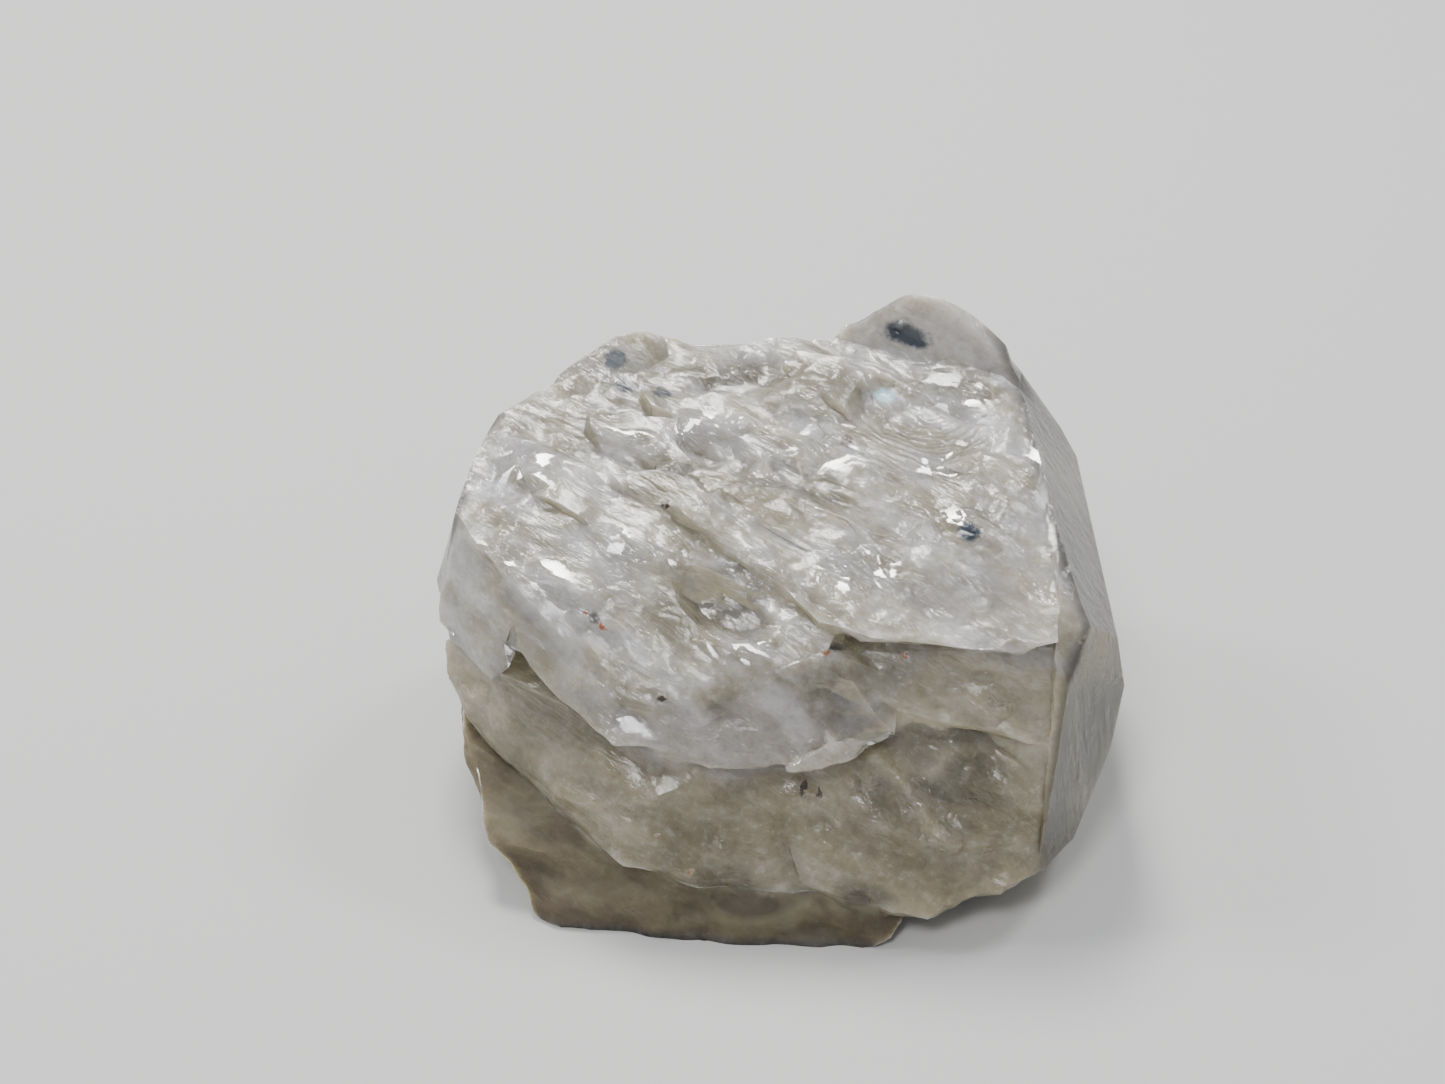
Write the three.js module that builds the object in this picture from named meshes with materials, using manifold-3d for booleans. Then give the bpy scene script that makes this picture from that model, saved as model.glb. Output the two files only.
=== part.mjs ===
// A broken phenakite crystal: a stubby prism, about 18 mm wide, snapped across the top and down the front.
//
// Flat prism faces close it on the right, on the left edge and all round the back. The top is one large
// fracture that slopes down to the front, with a peak at its right rear corner and a knob at its left rear
// corner. The front broke away in slabs, each with its own ledge, down to a flat broken base.
//
// Frame: millimetres, +Z up, +X along the widest side, the broken front faces -Y. The base lies on Z = 0
// and the origin is under the middle of the crystal.

import * as THREE from "three";
import { ConvexGeometry } from "three/addons/geometries/ConvexGeometry.js";
import { ImprovedNoise } from "three/addons/math/ImprovedNoise.js";
import { mergeVertices } from "three/addons/utils/BufferGeometryUtils.js";
import Module from "manifold-3d";

const wasm = await Module();
wasm.setup();

// -------------------------------------------------------------------------------------------------------
// Driving dimensions, in millimetres and degrees
// -------------------------------------------------------------------------------------------------------

const FACET_EDGE = 0.54;      // usual edge of a triangle
const LONGEST_SHARE = 4 / 3;  // longest edge, as a share of the usual one
const SHORTEST_SHARE = 3 / 4; // shortest edge, as a share of the usual one
const TINY_SHARE = 0.35;      // of the longest edge: below this, corners on one crease may merge
const MINUTE_SHARE = 0.08;    // of the longest edge: below this, any two vertices may merge
const EVEN_ROUNDS = 6;
const RELAX_STEP = 0.6;       // share of the way that a vertex drifts in one round
const CREASE_ANGLE = 12;      // faces that meet at more than this keep a crease
const CREASE_BEND = 25;       // a crease that turns by more than this has a corner
const KEEP_FACING = 0.6;      // cosine of the most that a triangle may tip as its corners move
const SLIM_SUM = 182;         // the two angles over an edge add up to more than this where it is turned
const BEYOND = 60;            // size of the block that fills the space beyond a plane
const MERGE = 1e-3;           // vertices closer than this are one

// Splinters on the broken surfaces run along GRAIN, down from the left rear to the right front.
const GRAIN = new THREE.Vector3(0.8, -0.56, -0.2).normalize();
const SPLINTER_LENGTH = 4.2;
const SPLINTER_WIDTH = 1.15;
const SPLINTER_RELIEF = 0.26;
const GRIT_SIZE = 0.9;
const GRIT_RELIEF = 0.1;
const GRIT_OFFSET = new THREE.Vector3(31.7, 11.3, 5.9);
const RELIEF_MARGIN = 0.45;   // the relief fades out over this distance to a flat face
const FLAT_SKIN = 0.03;       // points less deep than this lie on a flat face

// -------------------------------------------------------------------------------------------------------
// The slabs that the crystal broke into: each is the hull of an upper rim and a lower foot
// -------------------------------------------------------------------------------------------------------

const SLABS = {
  // The body, which reaches past the prism faces all round the back.
  core: {
    rim: [
      [-7.8, 5.4, 8.4], [-8.4, 4.2, 7.6], [-9.3, 2.3, 5.4], [-3.2, 7.6, 9.1], [1.6, 7.9, 9.1],
      [6.4, 6.8, 8.9], [-4.6, -0.8, 6.9], [1.7, -1.8, 7.0], [6.5, -1.5, 7.4], [8.6, 4.8, 7.0],
    ],
    foot: [
      [-8.2, 6.4, 5.0], [8.0, 7.2, 6.0], [-8.2, 4.6, 1.8], [-5.4, 7.8, 1.6], [6.2, 8.2, 1.6],
      [8.8, 5.6, 2.2], [-5.6, 6.2, -0.3], [6.2, 6.2, -0.3], [-6.2, -1.0, -0.3], [5.2, -3.0, -0.3],
      [-2.0, -4.6, -0.3], [2.5, -5.0, -0.3],
    ],
  },
  // The left half of the top, which rolls over to a ledge that ends in a point at the front.
  upperLeft: {
    rim: [
      [-7.5, 4.4, 9.0], [-8.1, 2.9, 8.6], [-8.5, 1.4, 8.1], [-3.2, 7.1, 9.5], [1.6, 7.1, 9.5],
      [-7.2, 0.6, 8.2], [-4.8, 0.2, 8.2], [1.4, -0.6, 8.1], [1.4, 1.4, 8.4], [-7.3, -0.3, 7.8],
      [-4.9, -1.3, 7.6], [-2.6, -2.2, 7.4], [1.3, -2.4, 7.6], [-7.1, -1.0, 7.0], [-5.2, -2.4, 6.6],
      [-3.7, -3.1, 6.4], [-2.0, -3.2, 6.8], [0.9, -3.3, 6.9],
    ],
    foot: [
      [-8.8, 1.2, 6.4], [-6.8, -1.8, 5.9], [-5.9, -2.6, 5.5], [-4.7, -3.6, 5.2], [-4.2, -4.2, 4.9],
      [-3.8, -4.3, 4.8], [-3.3, -3.9, 5.2], [-2.3, -3.6, 5.9], [0.4, -3.3, 6.2], [-8.2, 5.0, 7.4],
      [-9.0, 2.4, 6.2], [-6.0, 7.4, 8.0], [-3.2, 8.2, 8.2], [1.6, 8.2, 8.2],
    ],
  },
  // A smaller pointed ledge at the left edge.
  leftTip: {
    rim: [[-7.9, 2.9, 8.4], [-8.4, 1.2, 7.9], [-7.2, 0, 8.0]],
    foot: [
      [-9.3, 2.4, 5.6], [-9.0, 0.6, 5.0], [-8.7, 0, 4.7], [-8.1, -0.8, 4.8], [-7.5, -1.6, 4.9],
      [-7.0, -1.7, 5.4], [-6.9, -1.8, 6.0],
    ],
  },
  // The right half of the top, one step higher, with a diagonal left edge and a thin front ledge.
  upperRight: {
    rim: [
      [-2.9, 1.0, 8.7], [-2.1, 0.5, 8.6], [-0.6, -0.9, 8.4], [0.9, -2.8, 8.0], [2.2, -3.3, 7.9],
      [4.1, -3.4, 7.8], [5.6, -3.5, 7.7], [6.8, -3.3, 7.8], [7.2, 2.6, 9.2], [6.8, 4.6, 9.5],
      [2.5, 7.2, 9.6], [-2.4, 7.0, 9.4], [-3.7, 4.1, 9.0],
    ],
    foot: [
      [-3.0, 2.8, 7.0], [1.0, -1.5, 6.6], [2.6, -1.8, 6.6], [6.9, -2.1, 6.8], [7.4, 3.0, 7.2],
      [6.0, 6.2, 8.0], [-2.0, 6.4, 8.0],
    ],
  },
  // The smooth peak at the right rear corner.
  peak: {
    rim: [
      [1.8, 7.2, 9.8], [2.8, 7.0, 10.5], [3.3, 6.9, 11.1], [3.7, 6.6, 11.4], [4.3, 6.4, 11.4],
      [4.9, 6.4, 11.1], [5.4, 6.2, 10.8], [6.1, 5.9, 10.3], [6.4, 5.1, 9.9], [3.6, 7.6, 10.7],
      [4.7, 7.4, 10.5],
    ],
    foot: [
      [1.5, 7.2, 9.4], [2.6, 6.9, 9.3], [4.2, 5.7, 9.0], [6.5, 4.7, 9.2], [1.4, 7.9, 8.0],
      [3.2, 8.3, 8.0], [6.6, 6.6, 8.0], [7.0, 4.0, 7.5],
    ],
  },
  // The low knob at the left rear corner.
  knob: {
    rim: [[-6.0, 6.0, 9.1], [-5.1, 6.8, 9.5], [-4.5, 6.9, 9.8], [-3.7, 6.9, 9.9], [-3.2, 6.9, 9.6]],
    foot: [
      [-5.6, 5.3, 8.8], [-4.5, 5.0, 8.7], [-3.5, 5.2, 8.8], [-2.4, 6.2, 9.0], [-4.0, 8.0, 7.5],
      [-7.0, 6.2, 7.0], [-2.2, 7.8, 7.5],
    ],
  },
  // The right flank, which reaches past the prism faces and rises from the floor at the front.
  right: {
    rim: [
      [6.4, 5.6, 9.6], [7.1, 2.7, 9.3], [6.9, -2.0, 8.2], [6.8, -3.1, 7.7], [8.2, 5.0, 9.2],
      [8.6, 3.4, 8.9], [8.6, -2.0, 7.6],
    ],
    foot: [
      [9.4, -2.5, 5.0], [9.2, -3.5, 4.2], [7.4, -4.4, 5.2], [8.6, -4.4, 2.8], [7.9, -4.9, 2.1],
      [6.6, -5.4, 2.2], [9.4, 4.6, 5.0], [8.8, 5.2, 2.0], [8.4, -2.4, 1.8], [6.2, 5.0, -0.3],
      [6.2, -2.2, -0.3],
    ],
  },
  // A block under the front ledge, right of the middle.
  rightFrontUpper: {
    rim: [
      [6.8, -2.9, 7.2], [5.1, -2.8, 7.1], [2.6, -2.4, 7.0], [1.9, -2.7, 6.9], [6.0, 0, 6.5],
      [1.0, 0, 6.5],
    ],
    foot: [
      [1.7, -3.3, 6.2], [3.1, -3.6, 5.7], [4.8, -3.8, 5.5], [5.5, -3.9, 5.2], [7.1, -4.1, 5.0],
      [6.0, -1.0, 3.0], [1.0, -2.0, 3.0],
    ],
  },
  // The slope under the point of the top, down to the finger-like ridge.
  apron: {
    rim: [
      [-3.3, -3.8, 5.5], [-2.3, -3.5, 6.1], [-1.3, -3.4, 6.5], [0, -3.3, 6.9], [1.1, -3.0, 7.2],
      [1.9, -2.7, 7.0], [3.0, -3.1, 6.3],
    ],
    foot: [
      [-3.5, -4.2, 4.7], [-2.2, -4.5, 4.4], [-1.0, -4.6, 4.5], [0.2, -4.5, 4.6], [1.2, -4.3, 4.8],
      [1.9, -4.1, 5.0], [2.7, -3.8, 5.3], [-2.0, -2.0, 4.2], [2.0, -2.0, 4.5],
    ],
  },
  // The large block below it, which overhangs the floor.
  rightFrontLower: {
    rim: [
      [7.1, -4.0, 4.9], [5.5, -3.7, 4.9], [3.0, -3.4, 5.2], [0.5, -3.1, 5.6], [-0.5, -3.8, 4.2],
      [5.5, 0, 5.0], [0, 0, 5.0],
    ],
    foot: [
      [7.8, -4.6, 2.1], [7.3, -4.9, 2.0], [6.6, -5.4, 1.7], [5.6, -5.7, 1.6], [4.6, -5.9, 1.4],
      [3.7, -6.2, 1.0], [3.4, -5.9, 1.1], [0.5, -5.6, 1.5], [5.6, -3.4, -0.3], [6.2, -1.4, -0.3],
      [0.8, -4.9, -0.3], [0, 0, 1.0],
    ],
  },
  // The middle slab, from the left edge to the front.
  middle: {
    rim: [
      [-8.9, 0.3, 4.6], [-7.3, -1.4, 5.0], [-4.6, -3.3, 5.0], [-3.8, -3.9, 4.6], [-2.1, -3.3, 5.6],
      [0.2, -3.1, 5.6],
    ],
    foot: [
      [-8.8, -0.3, 4.0], [-8.6, -1.0, 3.4], [-8.4, -1.3, 3.1], [-7.1, -2.5, 2.9], [-6.1, -3.2, 2.5],
      [-4.9, -4.4, 1.9], [-4.0, -5.0, 1.7], [-2.1, -5.6, 1.4], [0.1, -5.4, 1.3], [1.8, -5.6, 1.2],
      [-8.4, 2.4, 2.6], [-7.6, 2.0, 1.2], [-5.0, 0, 1.2], [2.0, 0, 1.2],
    ],
  },
  // The bottom slab, with the front edge of the base.
  bottom: {
    rim: [
      [-8.5, -1.2, 2.9], [-8.0, -2.4, 2.6], [-7.9, -3.0, 2.4], [-5.7, -3.4, 2.1], [-2.1, -5.5, 1.5],
      [1.8, -5.5, 1.2], [-8.4, 1.6, 2.9], [-8.0, 3.6, 2.2],
    ],
    foot: [
      [-7.8, -3.6, 1.9], [-7.2, -4.1, 1.2], [-6.7, -4.7, 0.6], [-6.4, -5.2, 0.3], [-6.0, -5.5, -0.2],
      [-4.9, -6.0, -0.3], [-2.3, -6.4, -0.3], [-0.5, -6.2, -0.3], [1.5, -6.6, -0.3], [2.2, -6.4, -0.1],
      [2.7, -6.2, 0.3], [3.1, -5.8, 0.7], [-6.6, 3.4, -0.3], [-6.9, -1.0, -0.3], [3.2, -4.0, -0.3],
    ],
  },
};

// -------------------------------------------------------------------------------------------------------
// Natural faces: each plane looks along `azimuth` (0 is +X, 90 is +Y), tips up by `lean` and holds a point
// -------------------------------------------------------------------------------------------------------

const NATURAL_FACES = [
  { azimuth: -2, lean: 36, through: [6.9, 1.2, 8.9] },
  { azimuth: 2, lean: 12, through: [8.54, 1.0, 6.2] },
  { azimuth: -36, lean: 8, through: [7.1, -4.0, 5.2] },
  { azimuth: -20, lean: -13, through: [8.7, -2.8, 4.0] },
  { azimuth: -14, lean: -4, through: [8.95, -1.5, 4.3] },
  { azimuth: 38, lean: 4, through: [8.0, 5.2, 5.0] },
  { azimuth: 64, lean: 1, through: [5.6, 7.3, 5.0] },
  { azimuth: 92, lean: 3, through: [0, 7.8, 5.0] },
  { azimuth: 118, lean: 2, through: [-4.6, 7.0, 5.0] },
  { azimuth: 150, lean: 5, through: [-7.6, 5.0, 5.0] },
  { azimuth: 174, lean: 16, through: [-9.15, 2.3, 5.4] },
];

const BASE = { azimuth: 0, lean: -90, through: [0, 0, 0] };

// -------------------------------------------------------------------------------------------------------
// Smaller forms of the broken surfaces
// -------------------------------------------------------------------------------------------------------

// Hollows: ellipsoids with radii along the turned X, the turned Y and Z, taken out of the surface.
const HOLLOWS = {
  pocketUnderStep: { at: [-1.3, -2.2, 8.0], radii: [1.9, 1.0, 0.95], turn: -38 },
  shellOnTop: { at: [4.0, 3.4, 10.0], radii: [2.7, 2.2, 1.1], turn: -10 },
  troughAtRearRim: { at: [-1.4, 5.2, 10.0], radii: [2.3, 0.8, 0.95], turn: 5 },
  dishOnTop: { at: [-1.6, 2.5, 9.5], radii: [1.6, 0.8, 0.9], turn: -35 },
  pitLeft: { at: [0.9, -4.6, 3.8], radii: [0.5, 0.45, 0.32], turn: 0 },
  pitRight: { at: [1.9, -4.6, 3.8], radii: [0.4, 0.4, 0.3], turn: 0 },
  grooveOverBottom: { at: [2.3, -5.7, 1.9], radii: [1.1, 0.35, 0.22], turn: -4 },
};

// Ribs: slim bars, widest halfway along, half sunk in the surface.
const RIBS = {
  finger: { from: [-0.2, -4.6, 4.5], to: [2.8, -4.0, 5.3], radius: 0.34 },
};

// Splinter plates lie on the top along the grain, each with one long edge raised. The outline of a plate
// is in shares of its length and width, and each range is from a smallest to a largest value.
const PLATE_OUTLINE = [[-0.5, 0], [-0.2, 0.5], [0.25, 0.45], [0.5, 0], [0.2, -0.5], [-0.3, -0.45]];
const PLATE_COUNT = 26;
const PLATE_SEED = 20;
const PLATE_LENGTH = [2.4, 5.4];
const PLATE_WIDTH = [0.7, 1.4];
const PLATE_STEP = [0.05, 0.15];
const PLATE_SPREAD_X = [-5.8, 5.4];
const PLATE_SPREAD_Y = [0, 5];
const PLATE_SWING = [-0.15, 0.15];  // turn away from the grain, in radians
const PLATE_DEPTH = 0.6;            // how far a plate reaches below the top
const FRONT_RAISED_SHARE = 0.6;     // share of the plates whose front edge is the raised one
const TOP_LEVEL = 8.25;       // height of the top under the Z axis
const TOP_SLOPE = 0.19;       // its rise toward the rear
const RIGHT_STEP = 0.4;       // how much higher the upper right slab lies
const STEP_LINE = -1.9;       // X + Y along the left edge of the upper right slab

// Patches where the fracture is smooth: the relief is scaled by `keep` at the heart of each.
const PATCH_HEART = 0.7;
const SMOOTH_PATCHES = [
  { at: [4.2, 6.2, 10.4], radius: 2.6, keep: 0.12 },
  { at: [-4.1, -3.9, 5.2], radius: 0.9, keep: 0.1 },
  { at: [-6.2, -2.6, 3.9], radius: 2.2, keep: 0.35 },
];

// -------------------------------------------------------------------------------------------------------
// Solids: hulls and half-spaces, joined and cut
// -------------------------------------------------------------------------------------------------------

const UP = new THREE.Vector3(0, 0, 1);
const BALL_TURNS = 48;
const BALL_ROWS = 32;

function solidOf(geometry) {
  geometry.deleteAttribute("normal");
  geometry.deleteAttribute("uv");
  const closed = mergeVertices(geometry, MERGE);
  return new wasm.Manifold(new wasm.Mesh({
    numProp: 3,
    vertProperties: new Float32Array(closed.attributes.position.array),
    triVerts: new Uint32Array(closed.index.array),
  }));
}

function slabSolid({ rim, foot }) {
  const corners = [...rim, ...foot].map((corner) => new THREE.Vector3(...corner));
  return solidOf(new ConvexGeometry(corners));
}

function outwardOf({ azimuth, lean }) {
  const turn = THREE.MathUtils.degToRad(azimuth);
  const tip = THREE.MathUtils.degToRad(lean);
  return new THREE.Vector3(Math.cos(turn) * Math.cos(tip), Math.sin(turn) * Math.cos(tip), Math.sin(tip));
}

function hollowSolid({ at, radii, turn }) {
  const ball = new THREE.SphereGeometry(1, BALL_TURNS, BALL_ROWS);
  ball.scale(...radii);
  ball.rotateZ(THREE.MathUtils.degToRad(turn));
  ball.translate(...at);
  return solidOf(ball);
}

function ribSolid({ from, to, radius }) {
  const start = new THREE.Vector3(...from);
  const end = new THREE.Vector3(...to);
  const heart = start.clone().lerp(end, 0.5);
  const run = end.clone().sub(start);
  const side = run.clone().cross(UP).setLength(radius);
  const rise = side.clone().cross(run).setLength(radius);
  const reaches = [side, rise, side.clone().negate(), rise.clone().negate()];
  return solidOf(new ConvexGeometry([start, end, ...reaches.map((reach) => heart.clone().add(reach))]));
}

// A repeatable stream of numbers from 0 to 1, by the minimal standard generator.
const STREAM_FACTOR = 16807;
const STREAM_MODULUS = 2147483647;

function randomStream(seed) {
  let state = seed;
  return () => {
    state = (state * STREAM_FACTOR) % STREAM_MODULUS;
    return state / STREAM_MODULUS;
  };
}

function plateSolid(random) {
  const ranges = [PLATE_LENGTH, PLATE_WIDTH, PLATE_STEP, PLATE_SPREAD_X, PLATE_SPREAD_Y, PLATE_SWING];
  const [length, width, step, x, y, swing] = ranges.map(([low, high]) => low + (high - low) * random());
  const raisedSide = random() < FRONT_RAISED_SHARE ? -1 : 1;
  const along = GRAIN.clone().setZ(0).normalize().applyAxisAngle(UP, swing);
  const across = new THREE.Vector3().crossVectors(UP, along);
  const slabStep = x + y > STEP_LINE ? RIGHT_STEP : 0;
  const corners = PLATE_OUTLINE.flatMap(([lengthwise, sideways]) => {
    const corner = new THREE.Vector3(x, y, 0);
    corner.addScaledVector(along, lengthwise * length).addScaledVector(across, sideways * width);
    const level = TOP_LEVEL + TOP_SLOPE * corner.y + slabStep;
    const lift = sideways * raisedSide > 0 ? step : 0;
    return [corner.clone().setZ(level + lift), corner.clone().setZ(level - PLATE_DEPTH)];
  });
  return solidOf(new ConvexGeometry(corners));
}

// A block with one side on the given plane, filling the space beyond it.
function beyondPlane(plane) {
  const block = new THREE.BoxGeometry(BEYOND, BEYOND, BEYOND);
  block.translate(0, 0, BEYOND / 2);
  block.applyQuaternion(new THREE.Quaternion().setFromUnitVectors(UP, outwardOf(plane)));
  block.translate(...plane.through);
  return solidOf(block);
}

// -------------------------------------------------------------------------------------------------------
// An even triangle mesh: long edges are split, short ones closed up, and slim triangles turned, while the
// creases between flat faces stay where they are
// -------------------------------------------------------------------------------------------------------

const SMOOTH = 0;
const ON_CREASE = 1;
const CORNER = 2;

class EvenMesh {
  constructor(solid) {
    const mesh = solid.getMesh();
    this.points = [];
    for (let i = 0; i < mesh.vertProperties.length; i += 3) {
      this.points.push(new THREE.Vector3().fromArray(mesh.vertProperties, i));
    }
    this.triangles = [];
    this.around = this.points.map(() => new Set());
    for (let i = 0; i < mesh.triVerts.length; i += 3) {
      this.addTriangle(mesh.triVerts[i], mesh.triVerts[i + 1], mesh.triVerts[i + 2]);
    }
    this.creases = new Set();
    for (const [a, b] of this.edges()) {
      const [first, second] = this.sharedBy(a, b).map((index) => this.normal(this.triangles[index]));
      if (first.angleTo(second) > THREE.MathUtils.degToRad(CREASE_ANGLE)) {
        this.creases.add(this.key(a, b));
      }
    }
  }

  key(a, b) {
    return a < b ? `${a} ${b}` : `${b} ${a}`;
  }

  addTriangle(a, b, c) {
    const index = this.triangles.push([a, b, c]) - 1;
    for (const corner of [a, b, c]) {
      this.around[corner].add(index);
    }
  }

  removeTriangle(index) {
    for (const corner of this.triangles[index]) {
      this.around[corner].delete(index);
    }
    this.triangles[index] = null;
  }

  edges() {
    const found = new Map();
    for (const [a, b, c] of this.triangles.filter(Boolean)) {
      for (const edge of [[a, b], [b, c], [c, a]]) {
        found.set(this.key(...edge), edge);
      }
    }
    return [...found.values()];
  }

  length(a, b) {
    return this.points[a].distanceTo(this.points[b]);
  }

  // The triangles on both sides of an edge, or fewer where the edge is gone.
  sharedBy(a, b) {
    return [...this.around[a]].filter((index) => this.around[b].has(index));
  }

  opposite(index, a, b) {
    return this.triangles[index].find((corner) => corner !== a && corner !== b);
  }

  neighbours(vertex) {
    const found = new Set();
    for (const index of this.around[vertex]) {
      this.triangles[index].forEach((corner) => found.add(corner));
    }
    found.delete(vertex);
    return [...found];
  }

  creaseNeighbours(vertex) {
    return this.neighbours(vertex).filter((other) => this.creases.has(this.key(vertex, other)));
  }

  // A vertex with two creases in line slides along them, and one with a bend or a junction stays.
  rank(vertex) {
    const along = this.creaseNeighbours(vertex);
    if (along.length === 0) {
      return SMOOTH;
    }
    if (along.length !== 2) {
      return CORNER;
    }
    const [before, after] = along.map((other) => this.points[other].clone().sub(this.points[vertex]));
    return before.angleTo(after) > THREE.MathUtils.degToRad(180 - CREASE_BEND) ? ON_CREASE : CORNER;
  }

  normal(corners) {
    const [a, b, c] = corners.map((corner) => this.points[corner]);
    return new THREE.Vector3().crossVectors(b.clone().sub(a), c.clone().sub(a)).normalize();
  }

  splitLong(limit) {
    const long = this.edges().filter(([a, b]) => this.length(a, b) > limit);
    long.sort((one, two) => this.length(...two) - this.length(...one));
    for (const [a, b] of long) {
      const sides = this.sharedBy(a, b);
      const middle = this.points.push(this.points[a].clone().lerp(this.points[b], 0.5)) - 1;
      this.around.push(new Set());
      for (const index of sides) {
        const corners = this.triangles[index];
        this.removeTriangle(index);
        this.addTriangle(...corners.map((corner) => (corner === b ? middle : corner)));
        this.addTriangle(...corners.map((corner) => (corner === a ? middle : corner)));
      }
      if (this.creases.delete(this.key(a, b))) {
        this.creases.add(this.key(a, middle));
        this.creases.add(this.key(middle, b));
      }
    }
    return long.length;
  }

  // Whether `gone` can be drawn into `kept` with no fold, no long edge and no crease lost.
  canClose(gone, kept, limit) {
    const tiny = this.length(gone, kept) < TINY_SHARE * limit;
    const minute = this.length(gone, kept) < MINUTE_SHARE * limit;
    const onCrease = this.creases.has(this.key(gone, kept));
    const rankGone = this.rank(gone);
    const leavesCrease = rankGone > this.rank(kept) || (rankGone !== SMOOTH && !onCrease);
    if (!minute && (leavesCrease || (rankGone === CORNER && !tiny))) {
      return false;
    }
    const shared = this.neighbours(gone).filter((other) => this.neighbours(kept).includes(other));
    if (shared.length !== 2) {
      return false;
    }
    return [...this.around[gone]].every((index) => {
      const before = this.triangles[index];
      if (before.includes(kept)) {
        return true;
      }
      const after = before.map((corner) => (corner === gone ? kept : corner));
      const facing = this.normal(before).dot(this.normal(after));
      return minute || (facing > (tiny ? 0 : KEEP_FACING)
        && after.every((corner) => corner === kept || this.length(corner, kept) < limit));
    });
  }

  closeUp(gone, kept) {
    for (const other of this.creaseNeighbours(gone)) {
      this.creases.delete(this.key(gone, other));
      if (other !== kept) {
        this.creases.add(this.key(kept, other));
      }
    }
    for (const index of [...this.around[gone]]) {
      const corners = this.triangles[index];
      this.removeTriangle(index);
      if (!corners.includes(kept)) {
        this.addTriangle(...corners.map((corner) => (corner === gone ? kept : corner)));
      }
    }
  }

  closeShort(low, high) {
    const short = this.edges().filter(([a, b]) => this.length(a, b) < low);
    short.sort((one, two) => this.length(...one) - this.length(...two));
    for (const [a, b] of short) {
      if (this.sharedBy(a, b).length === 2 && this.length(a, b) < low) {
        if (this.canClose(a, b, high)) {
          this.closeUp(a, b);
        } else if (this.canClose(b, a, high)) {
          this.closeUp(b, a);
        }
      }
    }
  }

  // The angle at `apex` of the triangle over the edge from a to b.
  angleAt(apex, a, b) {
    const toA = this.points[a].clone().sub(this.points[apex]);
    return toA.angleTo(this.points[b].clone().sub(this.points[apex]));
  }

  turnSlim() {
    for (const [a, b] of this.edges()) {
      const sides = this.sharedBy(a, b);
      if (this.creases.has(this.key(a, b)) || sides.length !== 2) {
        continue;
      }
      const forward = this.triangles[sides[0]];
      const inOrder = forward[(forward.indexOf(a) + 1) % 3] === b;
      const [left, right] = inOrder ? sides : [sides[1], sides[0]];
      const c = this.opposite(left, a, b);
      const d = this.opposite(right, a, b);
      const slim = this.angleAt(c, a, b) + this.angleAt(d, a, b) > THREE.MathUtils.degToRad(SLIM_SUM);
      if (!slim || this.sharedBy(c, d).length > 0) {
        continue;
      }
      const facing = this.normal([a, b, c]).add(this.normal([b, a, d])).normalize();
      const flat = this.normal([a, b, c]).dot(this.normal([b, a, d])) > KEEP_FACING;
      const turned = [[a, d, c], [d, b, c]];
      if (flat && turned.every((corners) => this.normal(corners).dot(facing) > KEEP_FACING)) {
        this.removeTriangle(left);
        this.removeTriangle(right);
        turned.forEach((corners) => this.addTriangle(...corners));
      }
    }
  }

  // Vertices drift to the middle of their neighbours, within their face or along their crease.
  relax() {
    for (let vertex = 0; vertex < this.points.length; vertex += 1) {
      const rank = this.rank(vertex);
      if (this.around[vertex].size === 0 || rank === CORNER) {
        continue;
      }
      const home = this.points[vertex].clone();
      const others = rank === SMOOTH ? this.neighbours(vertex) : this.creaseNeighbours(vertex);
      const target = new THREE.Vector3();
      others.forEach((other) => target.addScaledVector(this.points[other], 1 / others.length));
      const shift = target.sub(home);
      if (rank === SMOOTH) {
        shift.projectOnPlane(this.vertexNormal(vertex));
      } else {
        shift.projectOnVector(this.points[others[1]].clone().sub(this.points[others[0]]));
      }
      const facings = [...this.around[vertex]].map((index) => this.normal(this.triangles[index]));
      this.points[vertex].addScaledVector(shift, RELAX_STEP);
      const sound = [...this.around[vertex]].every((index, i) => (
        this.normal(this.triangles[index]).dot(facings[i]) > KEEP_FACING));
      if (!sound) {
        this.points[vertex].copy(home);
      }
    }
  }

  vertexNormal(vertex) {
    const sum = new THREE.Vector3();
    for (const index of this.around[vertex]) {
      const corners = this.triangles[index];
      const [a, b] = corners.filter((corner) => corner !== vertex);
      sum.addScaledVector(this.normal(corners), this.angleAt(vertex, a, b));
    }
    return sum.normalize();
  }

  even(edge, rounds) {
    const longest = edge * LONGEST_SHARE;
    while (this.splitLong(longest) > 0);
    for (let round = 0; round < rounds; round += 1) {
      this.closeShort(edge * SHORTEST_SHARE, longest);
      this.turnSlim();
      this.relax();
      this.splitLong(longest);
      this.turnSlim();
      this.relax();
    }
  }

  geometry() {
    const used = this.points.map((point, i) => i).filter((i) => this.around[i].size > 0);
    const place = new Map(used.map((vertex, i) => [vertex, i]));
    const geometry = new THREE.BufferGeometry().setFromPoints(used.map((vertex) => this.points[vertex]));
    geometry.setIndex(this.triangles.filter(Boolean).flat().map((corner) => place.get(corner)));
    return geometry;
  }
}

// -------------------------------------------------------------------------------------------------------
// Fracture relief
// -------------------------------------------------------------------------------------------------------

const perlin = new ImprovedNoise();

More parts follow.
